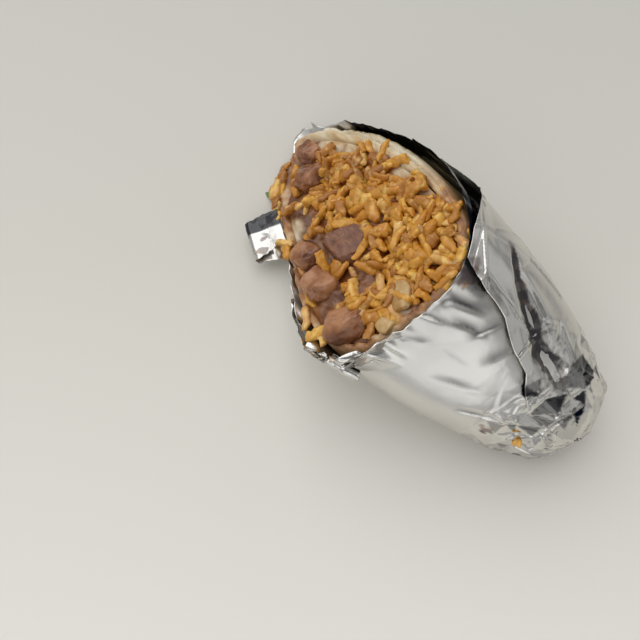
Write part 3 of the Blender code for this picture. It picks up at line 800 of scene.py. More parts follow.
def makeTortillaMaterial():
    # steamed flour tortilla: pale, doughy and a little see-through, soaked tan where sauce reached it
    material, tree, shader = newMaterial("flour_tortilla")
    place = addNode(tree, "ShaderNodeTexCoord").outputs["Object"]
    cloudy = addNode(tree, "ShaderNodeTexNoise", None, {"Vector": place, "Scale": 170.0, "Detail": 5.0}).outputs["Fac"]
    blotch = addNode(tree, "ShaderNodeTexNoise", None, {"Vector": place, "Scale": 75.0, "Detail": 3.0}).outputs["Fac"]
    layer, lapped = attributeNode(tree, "layer"), attributeNode(tree, "lapped")
    dough = blendColours(tree, rampNode(tree, blotch, ((0.38, 0.0), (0.62, 1.0))), linear("#c2ae8a"), linear("#e6dfcb"))
    soaked = rampNode(tree, cloudy, ((0.36, linear("#7d5033")), (0.5, linear("#a8784d")), (0.64, linear("#cfae84"))))
    lapShare = rampNode(tree, lapped, ((0.3, 0.0), (0.75, 1.0)))
    middle = blendColours(tree, lapShare, soaked, dough)
    inward = addNode(tree, "ShaderNodeMath", {"operation": "MULTIPLY_ADD"}, {0: blotch, 1: 0.9, 2: layer})
    inner = rampNode(tree, inward.outputs[0], ((0.95, 0.0), (1.35, 1.0)))
    outer = rampNode(tree, layer, ((0.0, 1.0), (0.25, 0.0)))
    damp = blendColours(tree, lapShare, soaked, rampNode(tree, cloudy, ((0.35, linear("#cdb287")), (0.65, linear("#e4d8ba")))))
    colour = blendColours(tree, inner, middle, damp)
    colour = blendColours(tree, outer, colour, blendColours(tree, lapShare, linear("#84643f"), linear("#a39370")))
    tree.links.new(colour, shader.inputs["Base Color"])
    shader.inputs["Roughness"].default_value = 0.38
    shader.inputs["Subsurface Weight"].default_value = 0.4
    shader.inputs["Subsurface Radius"].default_value = (1.0, 0.7, 0.4)
    shader.inputs["Subsurface Scale"].default_value = 0.003
    pits = addNode(tree, "ShaderNodeBump", None, {"Strength": 0.4, "Distance": 0.0006, "Height": cloudy})
    tree.links.new(pits.outputs[0], shader.inputs["Normal"])
    return material


# ---------- rice: a core under loose grains ----------

rice = {
    "drop": 0.8, "dome": 1.2, "relief": 2.3, "reliefSize": 6.5, "end": 14.5,
    "columns": 260, "rings": 80, "sink": 0.9,
    "length": 9.0, "width": 3.2, "variants": 14,
}

# where sauce and mashed beans fill the gaps instead of loose rice: right, up, radius, share
sauceSpots = [
    (-26, -34, 9, 0.9), (-10, -31, 9, 0.9), (1, -25, 10, 1.0), (13, -10, 9, 1.0), (22, -15, 8, 0.9),
    (26, -1, 8, 1.0), (16, 7, 8, 0.85), (36, 12, 6, 0.7), (7, -12, 9, 0.9), (-1, 7, 4, 0.6), (28, 28, 5, 0.6),
]

# pale dough and cream squeezed out between the thick tortilla and the rice: right, up, radius, share
creamSpots = [
    (-34, -21, 7, 1.0), (-32, -25, 5, 0.8), (-30, -12, 5, 1.0), (-26, 0, 4, 0.9), (-19, 12, 5, 1.0), (-12, 22, 5, 0.8),
    (1, -27, 5, 0.8), (30, 26, 4, 0.5),
]


def facePoint(right, up, out=0.0):
    return faceMiddle + right * faceRight + up * faceUp + out * faceOut


def faceShares(points):                        # how far right and up the cut face a point lies
    away = points - faceMiddle
    return away @ faceRight, away @ faceUp


def spotsAt(points, spots):
    right, up = faceShares(points)
    total = np.zeros(right.shape)
    for x, y, radius, share in spots:
        away = np.hypot(right - x, up - y) / radius
        total = np.maximum(total, share * (1 - ramp(away, 0.55, 0.6)))
    return total


def sauceAt(points):
    return spotsAt(points, sauceSpots)


def lumpAt(points, grow):                      # 1 inside any bean, chunk or slice seen from above the face
    right, up = faceShares(points)
    inside = np.zeros(right.shape)
    for node, shape in lumps.items():
        if node.startswith("onion"):           # loose rice lies over these
            continue
        turn = math.radians(shape["turn"])
        x, y = right - shape["at"][0], up - shape["at"][1]
        along, aside = x * math.sin(turn) + y * math.cos(turn), -x * math.cos(turn) + y * math.sin(turn)
        away = np.hypot(along / (shape["half"][0] + grow), aside / (shape["half"][1] + grow))
        inside = np.maximum(inside, 1 - ramp(away, 0.9, 0.15))
    return inside


def faceRelief(points, share):
    return (1 - share ** 6) * (rice["dome"] + rice["relief"] * noiseAt(points, rice["reliefSize"], 2.7))


def makeRiceCore(material):
    angle = np.linspace(0, 360, rice["columns"], endpoint=False)
    inset = roll["foilGap"] + 0.5 + wallAt(angle)
    cut = cutAt(angle, inset, -rice["drop"])
    edge = skin(cut, angle, inset)
    middle = edge.mean(axis=0)
    side = [skin(rice["end"] + (cut - rice["end"]) * (i / 26) ** 1.2, angle, inset, rice["end"]) for i in range(1, 26)]
    shares = 1 - np.arange(0, rice["rings"]) / rice["rings"]
    face = middle + (edge - middle) * shares[:, None, None]
    sauce = sauceAt(face)
    sink = rice["sink"] * (1 - sauce) * (1 - (shares ** 10))[:, None]
    mash = 0.55 * noiseAt(face, 2.6, 6.0) + 0.30 * noiseAt(face, 1.1, 8.0) + 0.12 * noiseAt(face, 0.6, 3.0)
    height = faceRelief(face, shares[:, None]) - sink + mash * (1 - (shares ** 10))[:, None]
    face = face + height[..., None] * faceOut
    rings = np.array(side + list(face))
    top = middle + (rice["dome"] - rice["sink"]) * faceOut
    mesh = gridMesh("rice_core", rings, True, [skin(np.array(rice["end"]), np.array(0.0), 0.0, rice["end"]), top])
    faceOutwards(mesh)
    wet = np.concatenate((np.zeros(len(side) * len(angle)), sauce.ravel(), (0.0, 0.0)))
    paint(mesh, "sauce", wet)
    cream = spotsAt(face, creamSpots)
    paint(mesh, "cream", np.concatenate((np.zeros(len(side) * len(angle)), cream.ravel(), (0.0, 0.0))))
    return addObject("rice_core", mesh, material)


def makeGrain(name, draw):
    # one soft-cooked grain: long, bent and flattened, its surface uneven, often burst or broken at one end
    sides, steps = 13, 18
    length = rice["length"] * draw.uniform(0.50, 1.15)
    width = rice["width"] * draw.uniform(0.80, 1.40)
    bend, twist = draw.uniform(-1.0, 1.0), draw.uniform(-0.7, 0.7)
    seed = draw.uniform(0, 50)
    broken, burst = draw.random() < 0.55, draw.uniform(-0.15, 0.35)
    rings = []
    for i in range(1, steps):
        share = i / steps
        t = math.pi * share
        x = -math.cos(t) * length / 2
        fat = math.sin(t) ** (0.22 if broken and share > 0.5 else 0.5) * (1 + burst * (2 * share - 1))
        turn = np.linspace(0, 2 * math.pi, sides, endpoint=False) + twist * share
        flatCos, flatSin = (np.sign(value) * np.abs(value) ** 0.75 for value in (np.cos(turn), np.sin(turn)))
        ring = np.stack((np.full(sides, x), fat * width / 2 * flatCos, fat * width * 0.36 * flatSin), axis=1)
        ring[:, 1] += bend * ((x / length * 2) ** 2 - 0.4)
        uneven = 0.28 * noiseAt(ring, 2.1, seed) + 0.17 * noiseAt(ring, 0.9, seed + 3)
        rings.append(ring * (1 + uneven[:, None] * (0.35, 1, 1)))
    ends = [(-length / 2, bend * 0.6, 0.0), (length / 2 * (0.93 if broken else 1.0), bend * 0.6, 0.0)]
    vertices = np.concatenate(rings + [np.array(ends)]) * mm
    faces = []
    for r in range(steps - 2):
        for i in range(sides):
            j = (i + 1) % sides
            faces.append((r * sides + i, r * sides + j, (r + 1) * sides + j, (r + 1) * sides + i))
    first, last, top = (steps - 1) * sides, (steps - 1) * sides + 1, (steps - 2) * sides
    for i in range(sides):
        j = (i + 1) % sides
        faces.append((first, j, i))
        faces.append((last, top + i, top + j))
    mesh = bpy.data.meshes.new(name)
    mesh.from_pydata(vertices.tolist(), [], faces)
    faceOutwards(mesh)
    mesh.shade_smooth()
    return bpy.data.objects.new(name, mesh)


def scatterTree(material, grains):
    # grains laid on a surface at random, each at its own turn, tilt and size
    tree = bpy.data.node_groups.new("scattered_grains", "GeometryNodeTree")
    face = tree.interface
    face.new_socket("Geometry", in_out="INPUT", socket_type="NodeSocketGeometry")
    sizes = {"Spacing": 2.0, "Density": 60000.0, "Rise": 0.0, "Tilt": 0.4, "Smallest": 0.8, "Largest": 1.1,
             "Darkest": 0.0, "Palest": 1.0}
    for key, value in sizes.items():
        face.new_socket(key, in_out="INPUT", socket_type="NodeSocketFloat").default_value = value
    face.new_socket("Seed", in_out="INPUT", socket_type="NodeSocketInt").default_value = 1
    face.new_socket("Geometry", in_out="OUTPUT", socket_type="NodeSocketGeometry")
    given = addNode(tree, "NodeGroupInput")
    share = addNode(tree, "GeometryNodeInputNamedAttribute", {"data_type": "FLOAT"}, {"Name": "riceShare"})
    points = addNode(tree, "GeometryNodeDistributePointsOnFaces", {"distribute_method": "POISSON"}, {
        "Mesh": given.outputs["Geometry"], "Distance Min": given.outputs["Spacing"],
        "Density Max": given.outputs["Density"], "Density Factor": share.outputs["Attribute"],
        "Seed": given.outputs["Seed"]})
    push = addNode(tree, "ShaderNodeVectorMath", {"operation": "SCALE"},
                   {0: points.outputs["Normal"], "Scale": given.outputs["Rise"]})
    moved = addNode(tree, "GeometryNodeSetPosition", None,
                    {"Geometry": points.outputs["Points"], "Offset": push.outputs[0]})
    lean = addNode(tree, "ShaderNodeMath", {"operation": "MULTIPLY"}, {0: given.outputs["Tilt"], 1: -1.0})
    tilt = addNode(tree, "FunctionNodeRandomValue", {"data_type": "FLOAT"},
                   {2: lean.outputs[0], 3: given.outputs["Tilt"], "Seed": 3})
    yaw = addNode(tree, "FunctionNodeRandomValue", {"data_type": "FLOAT"}, {2: 0.0, 3: 6.283, "Seed": 4})
    spin = addNode(tree, "FunctionNodeRandomValue", {"data_type": "FLOAT"}, {2: 0.0, 3: 6.283, "Seed": 5})
    turn = addNode(tree, "ShaderNodeCombineXYZ", None,
                   {0: spin.outputs[1], 1: tilt.outputs[1], 2: yaw.outputs[1]})
    asTurn = addNode(tree, "FunctionNodeEulerToRotation", None, {0: turn.outputs[0]})
    turned = addNode(tree, "FunctionNodeRotateRotation", {"rotation_space": "LOCAL"},
                     {"Rotation": points.outputs["Rotation"], "Rotate By": asTurn.outputs[0]})
    size = addNode(tree, "FunctionNodeRandomValue", {"data_type": "FLOAT"},
                   {2: given.outputs["Smallest"], 3: given.outputs["Largest"], "Seed": 6})
    choice = addNode(tree, "GeometryNodeCollectionInfo", None,
                     {"Collection": grains, "Separate Children": True, "Reset Children": True})
    placed = addNode(tree, "GeometryNodeInstanceOnPoints", None, {
        "Points": moved.outputs[0], "Instance": choice.outputs[0], "Pick Instance": True,
        "Rotation": turned.outputs[0], "Scale": size.outputs[1]})
    tint = addNode(tree, "FunctionNodeRandomValue", {"data_type": "FLOAT"},
                   {2: given.outputs["Darkest"], 3: given.outputs["Palest"], "Seed": 7})
    marked = addNode(tree, "GeometryNodeStoreNamedAttribute", {"data_type": "FLOAT", "domain": "INSTANCE"},
                     {"Geometry": placed.outputs[0], "Name": "tint", "Value": tint.outputs[1]})
    real = addNode(tree, "GeometryNodeRealizeInstances", None, {0: marked.outputs[0]})
    finished = addNode(tree, "GeometryNodeSetMaterial", None, {"Geometry": real.outputs[0], "Material": material})
    addNode(tree, "NodeGroupOutput", None, {0: finished.outputs[0]})
    return tree


def scatter(name, surface, tree, values):
    thing = bpy.data.objects.new(name, surface.copy())
    bpy.context.scene.collection.objects.link(thing)
    modifier = thing.modifiers.new("grains", "NODES")
    modifier.node_group = tree
    named = {item.name: item.identifier for item in tree.interface.items_tree if item.in_out == "INPUT"}
    for key, value in values.items():
        modifier[named[key]] = value
    settle(thing)
    return thing


def riceBed():
    # an open sheet over the cut face and the tortilla's inner edge, for the loose rice to lie on
    angle = np.linspace(0, 360, 150, endpoint=False)
    inset = roll["foilGap"] + 1.3 + wallAt(angle) * (0.45 + 0.25 * bump(angle, tortilla["paleMiddle"], 50.0))
    inset = inset - 2.1 * bump(angle, 62.0, 62.0)
    edge = skin(cutAt(angle, inset, -0.2), angle, inset)
    middle = edge.mean(axis=0)
    shares = 1 - np.arange(0, 50) / 50
    face = middle + (edge - middle) * shares[:, None, None]
    face = face + (faceRelief(face, shares[:, None]) - 0.5 * rice["sink"] * (1 - shares[:, None] ** 8))[..., None] * faceOut
    mesh = gridMesh("rice_bed", face, True, None)
    pale = spotsAt(face, creamSpots)
    rim = 1 - 0.55 * ramp(shares, 0.93, 0.06)[:, None]
    share = (1 - 0.88 * sauceAt(face)) * (1 - lumpAt(face, 0.1)) * (1 - 0.9 * pale) * rim
    paint(mesh, "riceShare", share.ravel())
    return mesh


def makeGrains(material):
    draw = random.Random(5)
    grains = bpy.data.collections.new("grain_shapes")
    for i in range(rice["variants"]):
        grains.objects.link(makeGrain("grain_%d" % i, draw))
    tree = scatterTree(material, grains)
    bed = riceBed()
    # painted shade: the deepest layer takes only the darker tints, the higher layers paler ones
    layers = [
        {"Spacing": 0.0023, "Density": 170000.0, "Rise": -0.0005, "Tilt": 0.35, "Smallest": 0.8, "Largest": 1.0,
         "Darkest": 0.0, "Palest": 0.42, "Seed": 3},
        {"Spacing": 0.0032, "Density": 100000.0, "Rise": 0.0006, "Tilt": 0.5, "Smallest": 0.8, "Largest": 1.1,
         "Darkest": 0.1, "Palest": 1.0, "Seed": 8},
        {"Spacing": 0.0049, "Density": 40000.0, "Rise": 0.0018, "Tilt": 0.5, "Smallest": 0.95, "Largest": 1.3,
         "Darkest": 0.3, "Palest": 1.0, "Seed": 14},
    ]
    made = [scatter("rice_grains_%d" % (i + 1), bed, tree, values) for i, values in enumerate(layers)]
    for thing in list(grains.objects):
        bpy.data.objects.remove(thing)
    bpy.data.collections.remove(grains)
    bpy.data.meshes.remove(bed)
    return made


crumbs = {  # bits stuck outside the filling: surface angle, distance back from the cut, how far out, size, kind
    "grains": [(-80, 0.3, 0.8, 0.8), (-86, 0.0, 1.0, 0.9), (-91, 0.2, 0.6, 0.9), (-96, -0.3, 1.2, 1.0),
               (-101, 0.2, 1.0, 0.9), (-106, 0.0, 0.6, 0.9), (-112, -0.2, 1.1, 0.8), (-128, 0.1, 1.3, 0.9),
               (-134, 0.0, 1.2, 0.8), (-176, 0.8, 1.0, 0.9), (179, 0.4, 1.6, 0.8), (-168, 0.5, 1.2, 0.8)],
    "inset": 1.0, "herb": (-99, -0.6, 0.4), "onFoil": (149, 12.4, 0.55, 0.6),
}


def makeCrumbs(material, herbMaterial):
    # single grains pushed out over the rim, and a shred of green leaf
    draw = random.Random(31)
    vertices, faces, tints = [], [], []
    foilAngle, foilDistance, foilOut, foilSize = crumbs["onFoil"]
    for angle, back, out, size in crumbs["grains"] + [(foilAngle, None, foilOut, foilSize)]:
        grain = makeGrain("loose", draw)
        points = np.array([vertex.co for vertex in grain.data.vertices]) / mm * size
        turn = draw.uniform(0, math.pi)
        spin = np.array(((math.cos(turn), -math.sin(turn), 0), (math.sin(turn), math.cos(turn), 0), (0, 0, 1)))
        spot = np.array(float(angle))
        if back is None:
            reach = np.array(foilDistance)
            place = skin(reach, spot, -float(crumple(spot, reach)) - out)
        else:
            place = skin(cutAt(spot, crumbs["inset"], 0.0) - back, spot, crumbs["inset"]) + out * faceOut
        points = points @ spin.T @ np.stack((faceRight, faceUp, faceOut)) + place + origin
        points[:, 2] = np.maximum(points[:, 2], 0.15)
        start = len(vertices)
        vertices += (points * mm).tolist()
        faces += [tuple(start + i for i in polygon.vertices) for polygon in grain.data.polygons]
        tints += [draw.random()] * len(points)
        bpy.data.objects.remove(grain)
    mesh = bpy.data.meshes.new("rice_on_rim")
    mesh.from_pydata(vertices, [], faces)
    paint(mesh, "tint", tints)
    angle, back, out = crumbs["herb"]
    spot = np.array(float(angle))
    place = skin(cutAt(spot, 0.0, 0.0) - back, spot, -2.0) + out * faceOut
    u, v = np.linspace(-1, 1, 16)[:, None], np.linspace(-1, 1, 12)[None, :]
    leaf = place + (2.4 * u + 0 * v)[..., None] * faceUp + (1.2 * v * (1 - 0.7 * u * u))[..., None] * faceRight
    leaf = leaf + (0.5 * np.sin(3 * u + 2 * v) + 0.3 * v * v + 0.5)[..., None] * faceOut
    leaf[..., 2] = np.maximum(leaf[..., 2], 0.3)
    herb = addObject("herb_shred", gridMesh("herb_shred", leaf, False, None), herbMaterial)
    return [addObject("rice_on_rim", mesh, material), thicken(herb, 0.2)]


def makeHerbMaterial():
    # wilted coriander leaf: dull green, thin and damp
    material, tree, shader = newMaterial("coriander_leaf")
    place = addNode(tree, "ShaderNodeTexCoord").outputs["Object"]
    cloud = addNode(tree, "ShaderNodeTexNoise", None, {"Vector": place, "Scale": 700.0, "Detail": 3.0}).outputs["Fac"]
    colour = rampNode(tree, cloud, ((0.3, linear("#4d6a2a")), (0.7, linear("#7d9a4a"))))
    tree.links.new(colour, shader.inputs["Base Color"])
    shader.inputs["Roughness"].default_value = 0.4
    return material


def makeRiceMaterial():
    # rice cooked in tomato and achiote: yellow-orange, moist and slightly see-through
    material, tree, shader = newMaterial("seasoned_rice")
    place = addNode(tree, "ShaderNodeTexCoord").outputs["Object"]
    tint = attributeNode(tree, "tint")
    mottle = addNode(tree, "ShaderNodeTexNoise", None, {"Vector": place, "Scale": 420.0, "Detail": 3.0}).outputs["Fac"]
    mealy = addNode(tree, "ShaderNodeTexNoise", None, {"Vector": place, "Scale": 1500.0, "Detail": 2.0}).outputs["Fac"]
    body = rampNode(tree, tint, ((0.0, linear("#a0672a")), (0.25, linear("#cf9030")), (0.6, linear("#e9b34a")),
                                 (0.8, linear("#eabf72")), (1.0, linear("#d6a06a"))))
    patch = rampNode(tree, mottle, ((0.38, 1.0), (0.62, 0.0)))
    fade = addNode(tree, "ShaderNodeMath", {"operation": "MULTIPLY"}, {0: patch, 1: 0.4})
    colour = blendColours(tree, fade.outputs[0], body, linear("#a56a24"))
    light = rampNode(tree, mottle, ((0.56, 0.0), (0.68, 0.45)))
    colour = blendColours(tree, light, colour, linear("#f4cf80"))
    tree.links.new(colour, shader.inputs["Base Color"])
    shader.inputs["Roughness"].default_value = 0.31
    shader.inputs["Subsurface Weight"].default_value = 0.4
    shader.inputs["Subsurface Radius"].default_value = (1.0, 0.5, 0.15)
    shader.inputs["Subsurface Scale"].default_value = 0.0012
    bumps = addNode(tree, "ShaderNodeBump", None, {"Strength": 0.4, "Distance": 0.0004, "Height": mottle})
    grainy = addNode(tree, "ShaderNodeBump", None,
                     {"Strength": 0.35, "Distance": 0.00025, "Height": mealy, "Normal": bumps.outputs[0]})
    tree.links.new(grainy.outputs[0], shader.inputs["Normal"])
    return material


def makeCoreMaterial():
    # mashed beans and cooking juices between the grains: wet, mauve-brown, orange where it meets the rice
    material, tree, shader = newMaterial("bean_mash")
    place = addNode(tree, "ShaderNodeTexCoord").outputs["Object"]
    sauce, cream = attributeNode(tree, "sauce"), attributeNode(tree, "cream")
    lump = addNode(tree, "ShaderNodeTexNoise", None, {"Vector": place, "Scale": 190.0, "Detail": 5.0}).outputs["Fac"]
    under = rampNode(tree, lump, ((0.3, linear("#5e2d10")), (0.5, linear("#89491b")), (0.7, linear("#ab6c2e"))))
    mash = rampNode(tree, lump, ((0.3, linear("#50301f")), (0.5, linear("#784e34")), (0.7, linear("#9a6d45"))))
    pale = rampNode(tree, lump, ((0.35, linear("#c3a378")), (0.52, linear("#dccbaa")), (0.66, linear("#e9e1c9"))))
    base = blendColours(tree, sauce, under, mash)
    tree.links.new(blendColours(tree, cream, base, pale), shader.inputs["Base Color"])
    shader.inputs["Roughness"].default_value = 0.3
    shader.inputs["Subsurface Weight"].default_value = 0.25
    shader.inputs["Subsurface Radius"].default_value = (1.0, 0.5, 0.3)
    shader.inputs["Subsurface Scale"].default_value = 0.002
    bumps = addNode(tree, "ShaderNodeBump", None, {"Strength": 0.5, "Distance": 0.0008, "Height": lump})
    tree.links.new(bumps.outputs[0], shader.inputs["Normal"])
    return material


# ---------- beans, meat and onion ----------

lumps = {
    "bean_1": {"at": (-29.0, -31.0, 0.7), "half": (5.4, 4.0, 3.4), "turn": 35.0, "square": 0.85, "bend": 0.6},
    "bean_2": {"at": (-19.0, -26.2, 0.8), "half": (6.8, 4.9, 4.2), "turn": -20.0, "square": 0.82, "bend": 0.9},
    "bean_3": {"at": (10.3, -17.2, 0.8), "half": (5.9, 4.2, 3.8), "turn": 10.0, "square": 0.85, "bend": 0.7},
    "bean_4": {"at": (20.4, -7.6, 0.5), "half": (6.8, 5.2, 4.6), "turn": 25.0, "square": 0.85, "bend": 0.9},
    "bean_5": {"at": (33.4, 7.2, 0.8), "half": (7.8, 5.6, 4.8), "turn": -15.0, "square": 0.78, "bend": 1.0},
    "meat_chunk": {"at": (7.0, -1.8, -0.8), "half": (8.6, 7.2, 5.0), "turn": 15.0, "square": 0.58},
    "onion_piece_1": {"at": (23.6, 24.2, 1.0), "half": (4.7, 3.2, 1.2), "turn": 75.0, "square": 0.7},
    "onion_piece_2": {"at": (32.0, 21.4, 0.9), "half": (3.0, 2.5, 1.1), "turn": 40.0, "square": 0.7},
}


def lumpMesh(name, half, at, turn, square=1.0, bend=0.0, sides=48, steps=36, surface=None, cuts=()):
    def power(value):
        return np.sign(value) * np.abs(value) ** square

    around = np.linspace(0, 2 * math.pi, sides, endpoint=False)
    rings = []
    for i in range(1, steps):
        lean = math.pi * i / steps
        out = power(math.sin(lean))
        ring = np.stack((np.full(sides, half[0] * power(math.cos(lean))),
                         half[1] * out * power(np.cos(around)), half[2] * out * power(np.sin(around))), axis=1)
        ring[:, 1] += bend * (ring[:, 0] / half[0]) ** 2
        rings.append(ring)
    rings = np.array(rings)
    for x, y, z, reach in cuts:                # flat faces, as a knife leaves them
        way = unit(np.array((x, y, z), float))
        limit = reach * math.sqrt(sum((way[k] * half[k]) ** 2 for k in range(3)))
        over = np.clip(rings @ way - limit, 0, None)
        rings = rings - 0.9 * over[..., None] * way
    if surface is not None:
        rings = rings + unit(rings) * surface(rings)[..., None]
    turn = math.radians(turn)
    lengthWay = math.cos(turn) * faceUp + math.sin(turn) * faceRight
    axes = np.stack((lengthWay, np.cross(faceOut, lengthWay), faceOut))
    middle = facePoint(*at)
    poles = [middle + np.array((side * half[0], bend, 0.0)) @ axes for side in (1, -1)]
    mesh = gridMesh(name, middle + rings @ axes, True, poles)
    faceOutwards(mesh)
    return mesh


def beanSkin(seed):
    # uneven from boiling, with fine wrinkles along it and a torn step where the skin has slipped
    def height(rings):
        wide = 0.42 * noiseAt(rings, 3.6, seed)
        wrinkle = 0.10 * np.abs(noiseAt(rings * (0.35, 1, 1), 1.1, seed + 5))
        torn = ramp(noiseAt(rings, 3.2, seed + 9), 0.28, 0.10)
        return wide - wrinkle - 0.35 * torn + 0.08 * noiseAt(rings, 0.7, seed + 2) * torn
    return height


def meatFibres(rings):
    strands = noiseAt(rings * (0.2, 1.0, 1.0), 1.2, 4.0)
    return 0.35 * noiseAt(rings, 6.0, 2.0) + 0.07 * strands + 0.05 * noiseAt(rings, 1.0, 9.0)


def onionFlesh(rings):
    return 0.40 * noiseAt(rings, 3.0, 3.0) + 0.10 * noiseAt(rings * (0.2, 1, 1), 0.8, 6.0)


knifeCuts = {  # which way each flat face looks and how far out it lies
    "meat": [(0.2, 0.1, 1, 0.62), (1, 0.25, 0.2, 0.78), (-0.8, 0.9, 0.3, 0.74), (-0.3, -1, 0.4, 0.72), (0.9, -0.9, 0.5, 0.75)],
    "bean": [(0.1, 0.5, 1, 0.80), (0.6, -0.7, 0.6, 0.84), (-0.8, 0.2, 0.7, 0.86)],
    "onion": [(1, 0.3, 0, 0.85)],
}


def makeBeanMaterial():
    # boiled pinto bean: smooth wet skin over mealy flesh, mauve-brown with paler blurred patches
    material, tree, shader = newMaterial("pinto_bean")
    place = addNode(tree, "ShaderNodeTexCoord").outputs["Object"]
    cloud = addNode(tree, "ShaderNodeTexNoise", None, {"Vector": place, "Scale": 130.0, "Detail": 4.0}).outputs["Fac"]
    speck = addNode(tree, "ShaderNodeTexNoise", None, {"Vector": place, "Scale": 600.0, "Detail": 2.0}).outputs["Fac"]
    colour = rampNode(tree, cloud, ((0.34, linear("#6e4129")), (0.47, linear("#8e5c3a")), (0.60, linear("#b07d57"))))
    share = rampNode(tree, speck, ((0.55, 0.0), (0.75, 0.30)))
    skinned = blendColours(tree, share, colour, linear("#563322"))
    stretched = addNode(tree, "ShaderNodeMapping", None, {"Vector": place, "Scale": (1.0, 0.45, 0.7)})
    lines = addNode(tree, "ShaderNodeTexNoise", None,
                    {"Vector": stretched.outputs[0], "Scale": 210.0, "Detail": 2.0, "Distortion": 0.6}).outputs["Fac"]
    cracked = rampNode(tree, lines, ((0.47, 0.0), (0.50, 0.55), (0.53, 0.0)))
    tree.links.new(blendColours(tree, cracked, skinned, linear("#b98d70")), shader.inputs["Base Color"])
    shader.inputs["Roughness"].default_value = 0.29
    shader.inputs["Subsurface Weight"].default_value = 0.25
    shader.inputs["Subsurface Radius"].default_value = (1.0, 0.45, 0.3)
    shader.inputs["Subsurface Scale"].default_value = 0.0015
    bumps = addNode(tree, "ShaderNodeBump", None, {"Strength": 0.25, "Distance": 0.0004, "Height": speck})
    tree.links.new(bumps.outputs[0], shader.inputs["Normal"])
    return material


def makeMeatMaterial():
    # stewed meat: coarse strands, wet, grey-brown with a pinkish cast
    material, tree, shader = newMaterial("stewed_meat")
    place = addNode(tree, "ShaderNodeTexCoord").outputs["Object"]
    stretched = addNode(tree, "ShaderNodeMapping", None, {"Vector": place, "Rotation": (0.3, 0.9, 0.6), "Scale": (1, 5, 5)})
    strand = addNode(tree, "ShaderNodeTexNoise", None,
                     {"Vector": stretched.outputs[0], "Scale": 160.0, "Detail": 5.0}).outputs["Fac"]
    colour = rampNode(tree, strand, ((0.32, linear("#633c28")), (0.5, linear("#7b4d34")), (0.68, linear("#8f6245"))))
    lines = addNode(tree, "ShaderNodeTexNoise", None, {"Vector": stretched.outputs[0], "Scale": 36.0, "Detail": 1.0})
    sinew = rampNode(tree, lines.outputs["Fac"], ((0.488, 0.0), (0.50, 0.35), (0.512, 0.0)))
    tree.links.new(blendColours(tree, sinew, colour, linear("#b3937b")), shader.inputs["Base Color"])
    shader.inputs["Roughness"].default_value = 0.38
    shader.inputs["Subsurface Weight"].default_value = 0.2
    shader.inputs["Subsurface Radius"].default_value = (1.0, 0.35, 0.25)
    shader.inputs["Subsurface Scale"].default_value = 0.0015
    bumps = addNode(tree, "ShaderNodeBump", None, {"Strength": 0.35, "Distance": 0.0006, "Height": strand})
    tree.links.new(bumps.outputs[0], shader.inputs["Normal"])
    return material


def makeOnionMaterial():
    # softened onion: glassy, pale yellow, picking up the orange of the rice
    material, tree, shader = newMaterial("soft_onion")
    place = addNode(tree, "ShaderNodeTexCoord").outputs["Object"]
    cloud = addNode(tree, "ShaderNodeTexNoise", None, {"Vector": place, "Scale": 240.0, "Detail": 3.0}).outputs["Fac"]
    colour = rampNode(tree, cloud, ((0.35, linear("#b3864e")), (0.6, linear("#cfae78"))))
    tree.links.new(colour, shader.inputs["Base Color"])
    shader.inputs["Roughness"].default_value = 0.22
    shader.inputs["Transmission Weight"].default_value = 0.1
    shader.inputs["Subsurface Weight"].default_value = 0.5
    shader.inputs["Subsurface Radius"].default_value = (1.0, 0.8, 0.5)
    shader.inputs["Subsurface Scale"].default_value = 0.002
    return material


def makeLumps():
    finishes = {"bean": makeBeanMaterial(), "meat": makeMeatMaterial(), "onion": makeOnionMaterial()}
    names = {"bean": "pinto_bean", "meat": "stewed_meat", "onion": "onion_sliver"}
    for count, (node, shape) in enumerate(lumps.items()):
        kind = node.split("_")[0]
        surface = {"bean": beanSkin(count * 3.1), "meat": meatFibres, "onion": onionFlesh}[kind]
        sides, steps = (120, 80) if kind == "meat" else (72, 54)
        mesh = lumpMesh(node, surface=surface, sides=sides, steps=steps, cuts=knifeCuts[kind], **shape)
        thing = addObject("%s_%s" % (names[kind], node.split("_")[-1]), mesh, finishes[kind])
        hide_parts(node)
        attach(thing, "root")


wrap = makeTortilla(makeTortillaMaterial())
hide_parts("tortilla")
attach(wrap, "root")
stage("tortilla")

core = makeRiceCore(makeCoreMaterial())
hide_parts("rice_filling")
riceMaterial = makeRiceMaterial()
for piece in [core] + makeGrains(riceMaterial) + makeCrumbs(riceMaterial, makeHerbMaterial()):
    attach(piece, "root")
stage("rice")

makeLumps()
stage("beans, meat and onion")


# ---------- floor, light and camera ----------

view = {
    "place": (-33.71, -63.42, 225.74),       # in the roll's frame, millimetres
    "azimuth": 51.67, "elevation": 74.55, "roll": -5.69,
    "lens": 39.4,
}


def makeCamera():
    a, e, r = (math.radians(view[key]) for key in ("azimuth", "elevation", "roll"))
    back = np.array((math.sin(a) * math.cos(e), -math.cos(a) * math.cos(e), math.sin(e)))
    across = np.array((math.cos(a), math.sin(a), 0.0))
    up = np.cross(back, across)
    across, up = (math.cos(r) * across + math.sin(r) * up, -math.sin(r) * across + math.cos(r) * up)
    camera = bpy.data.objects.new("camera", bpy.data.cameras.new("camera"))
    camera.data.lens = view["lens"]
    camera.data.sensor_width = 36.0
    camera.data.clip_start = 0.01
    place = (np.array(view["place"]) + origin) * mm
    matrix = [[across[i], up[i], back[i], place[i]] for i in range(3)] + [[0, 0, 0, 1]]
    camera.matrix_world = Matrix(matrix)
    bpy.context.scene.collection.objects.link(camera)
    bpy.context.scene.camera = camera


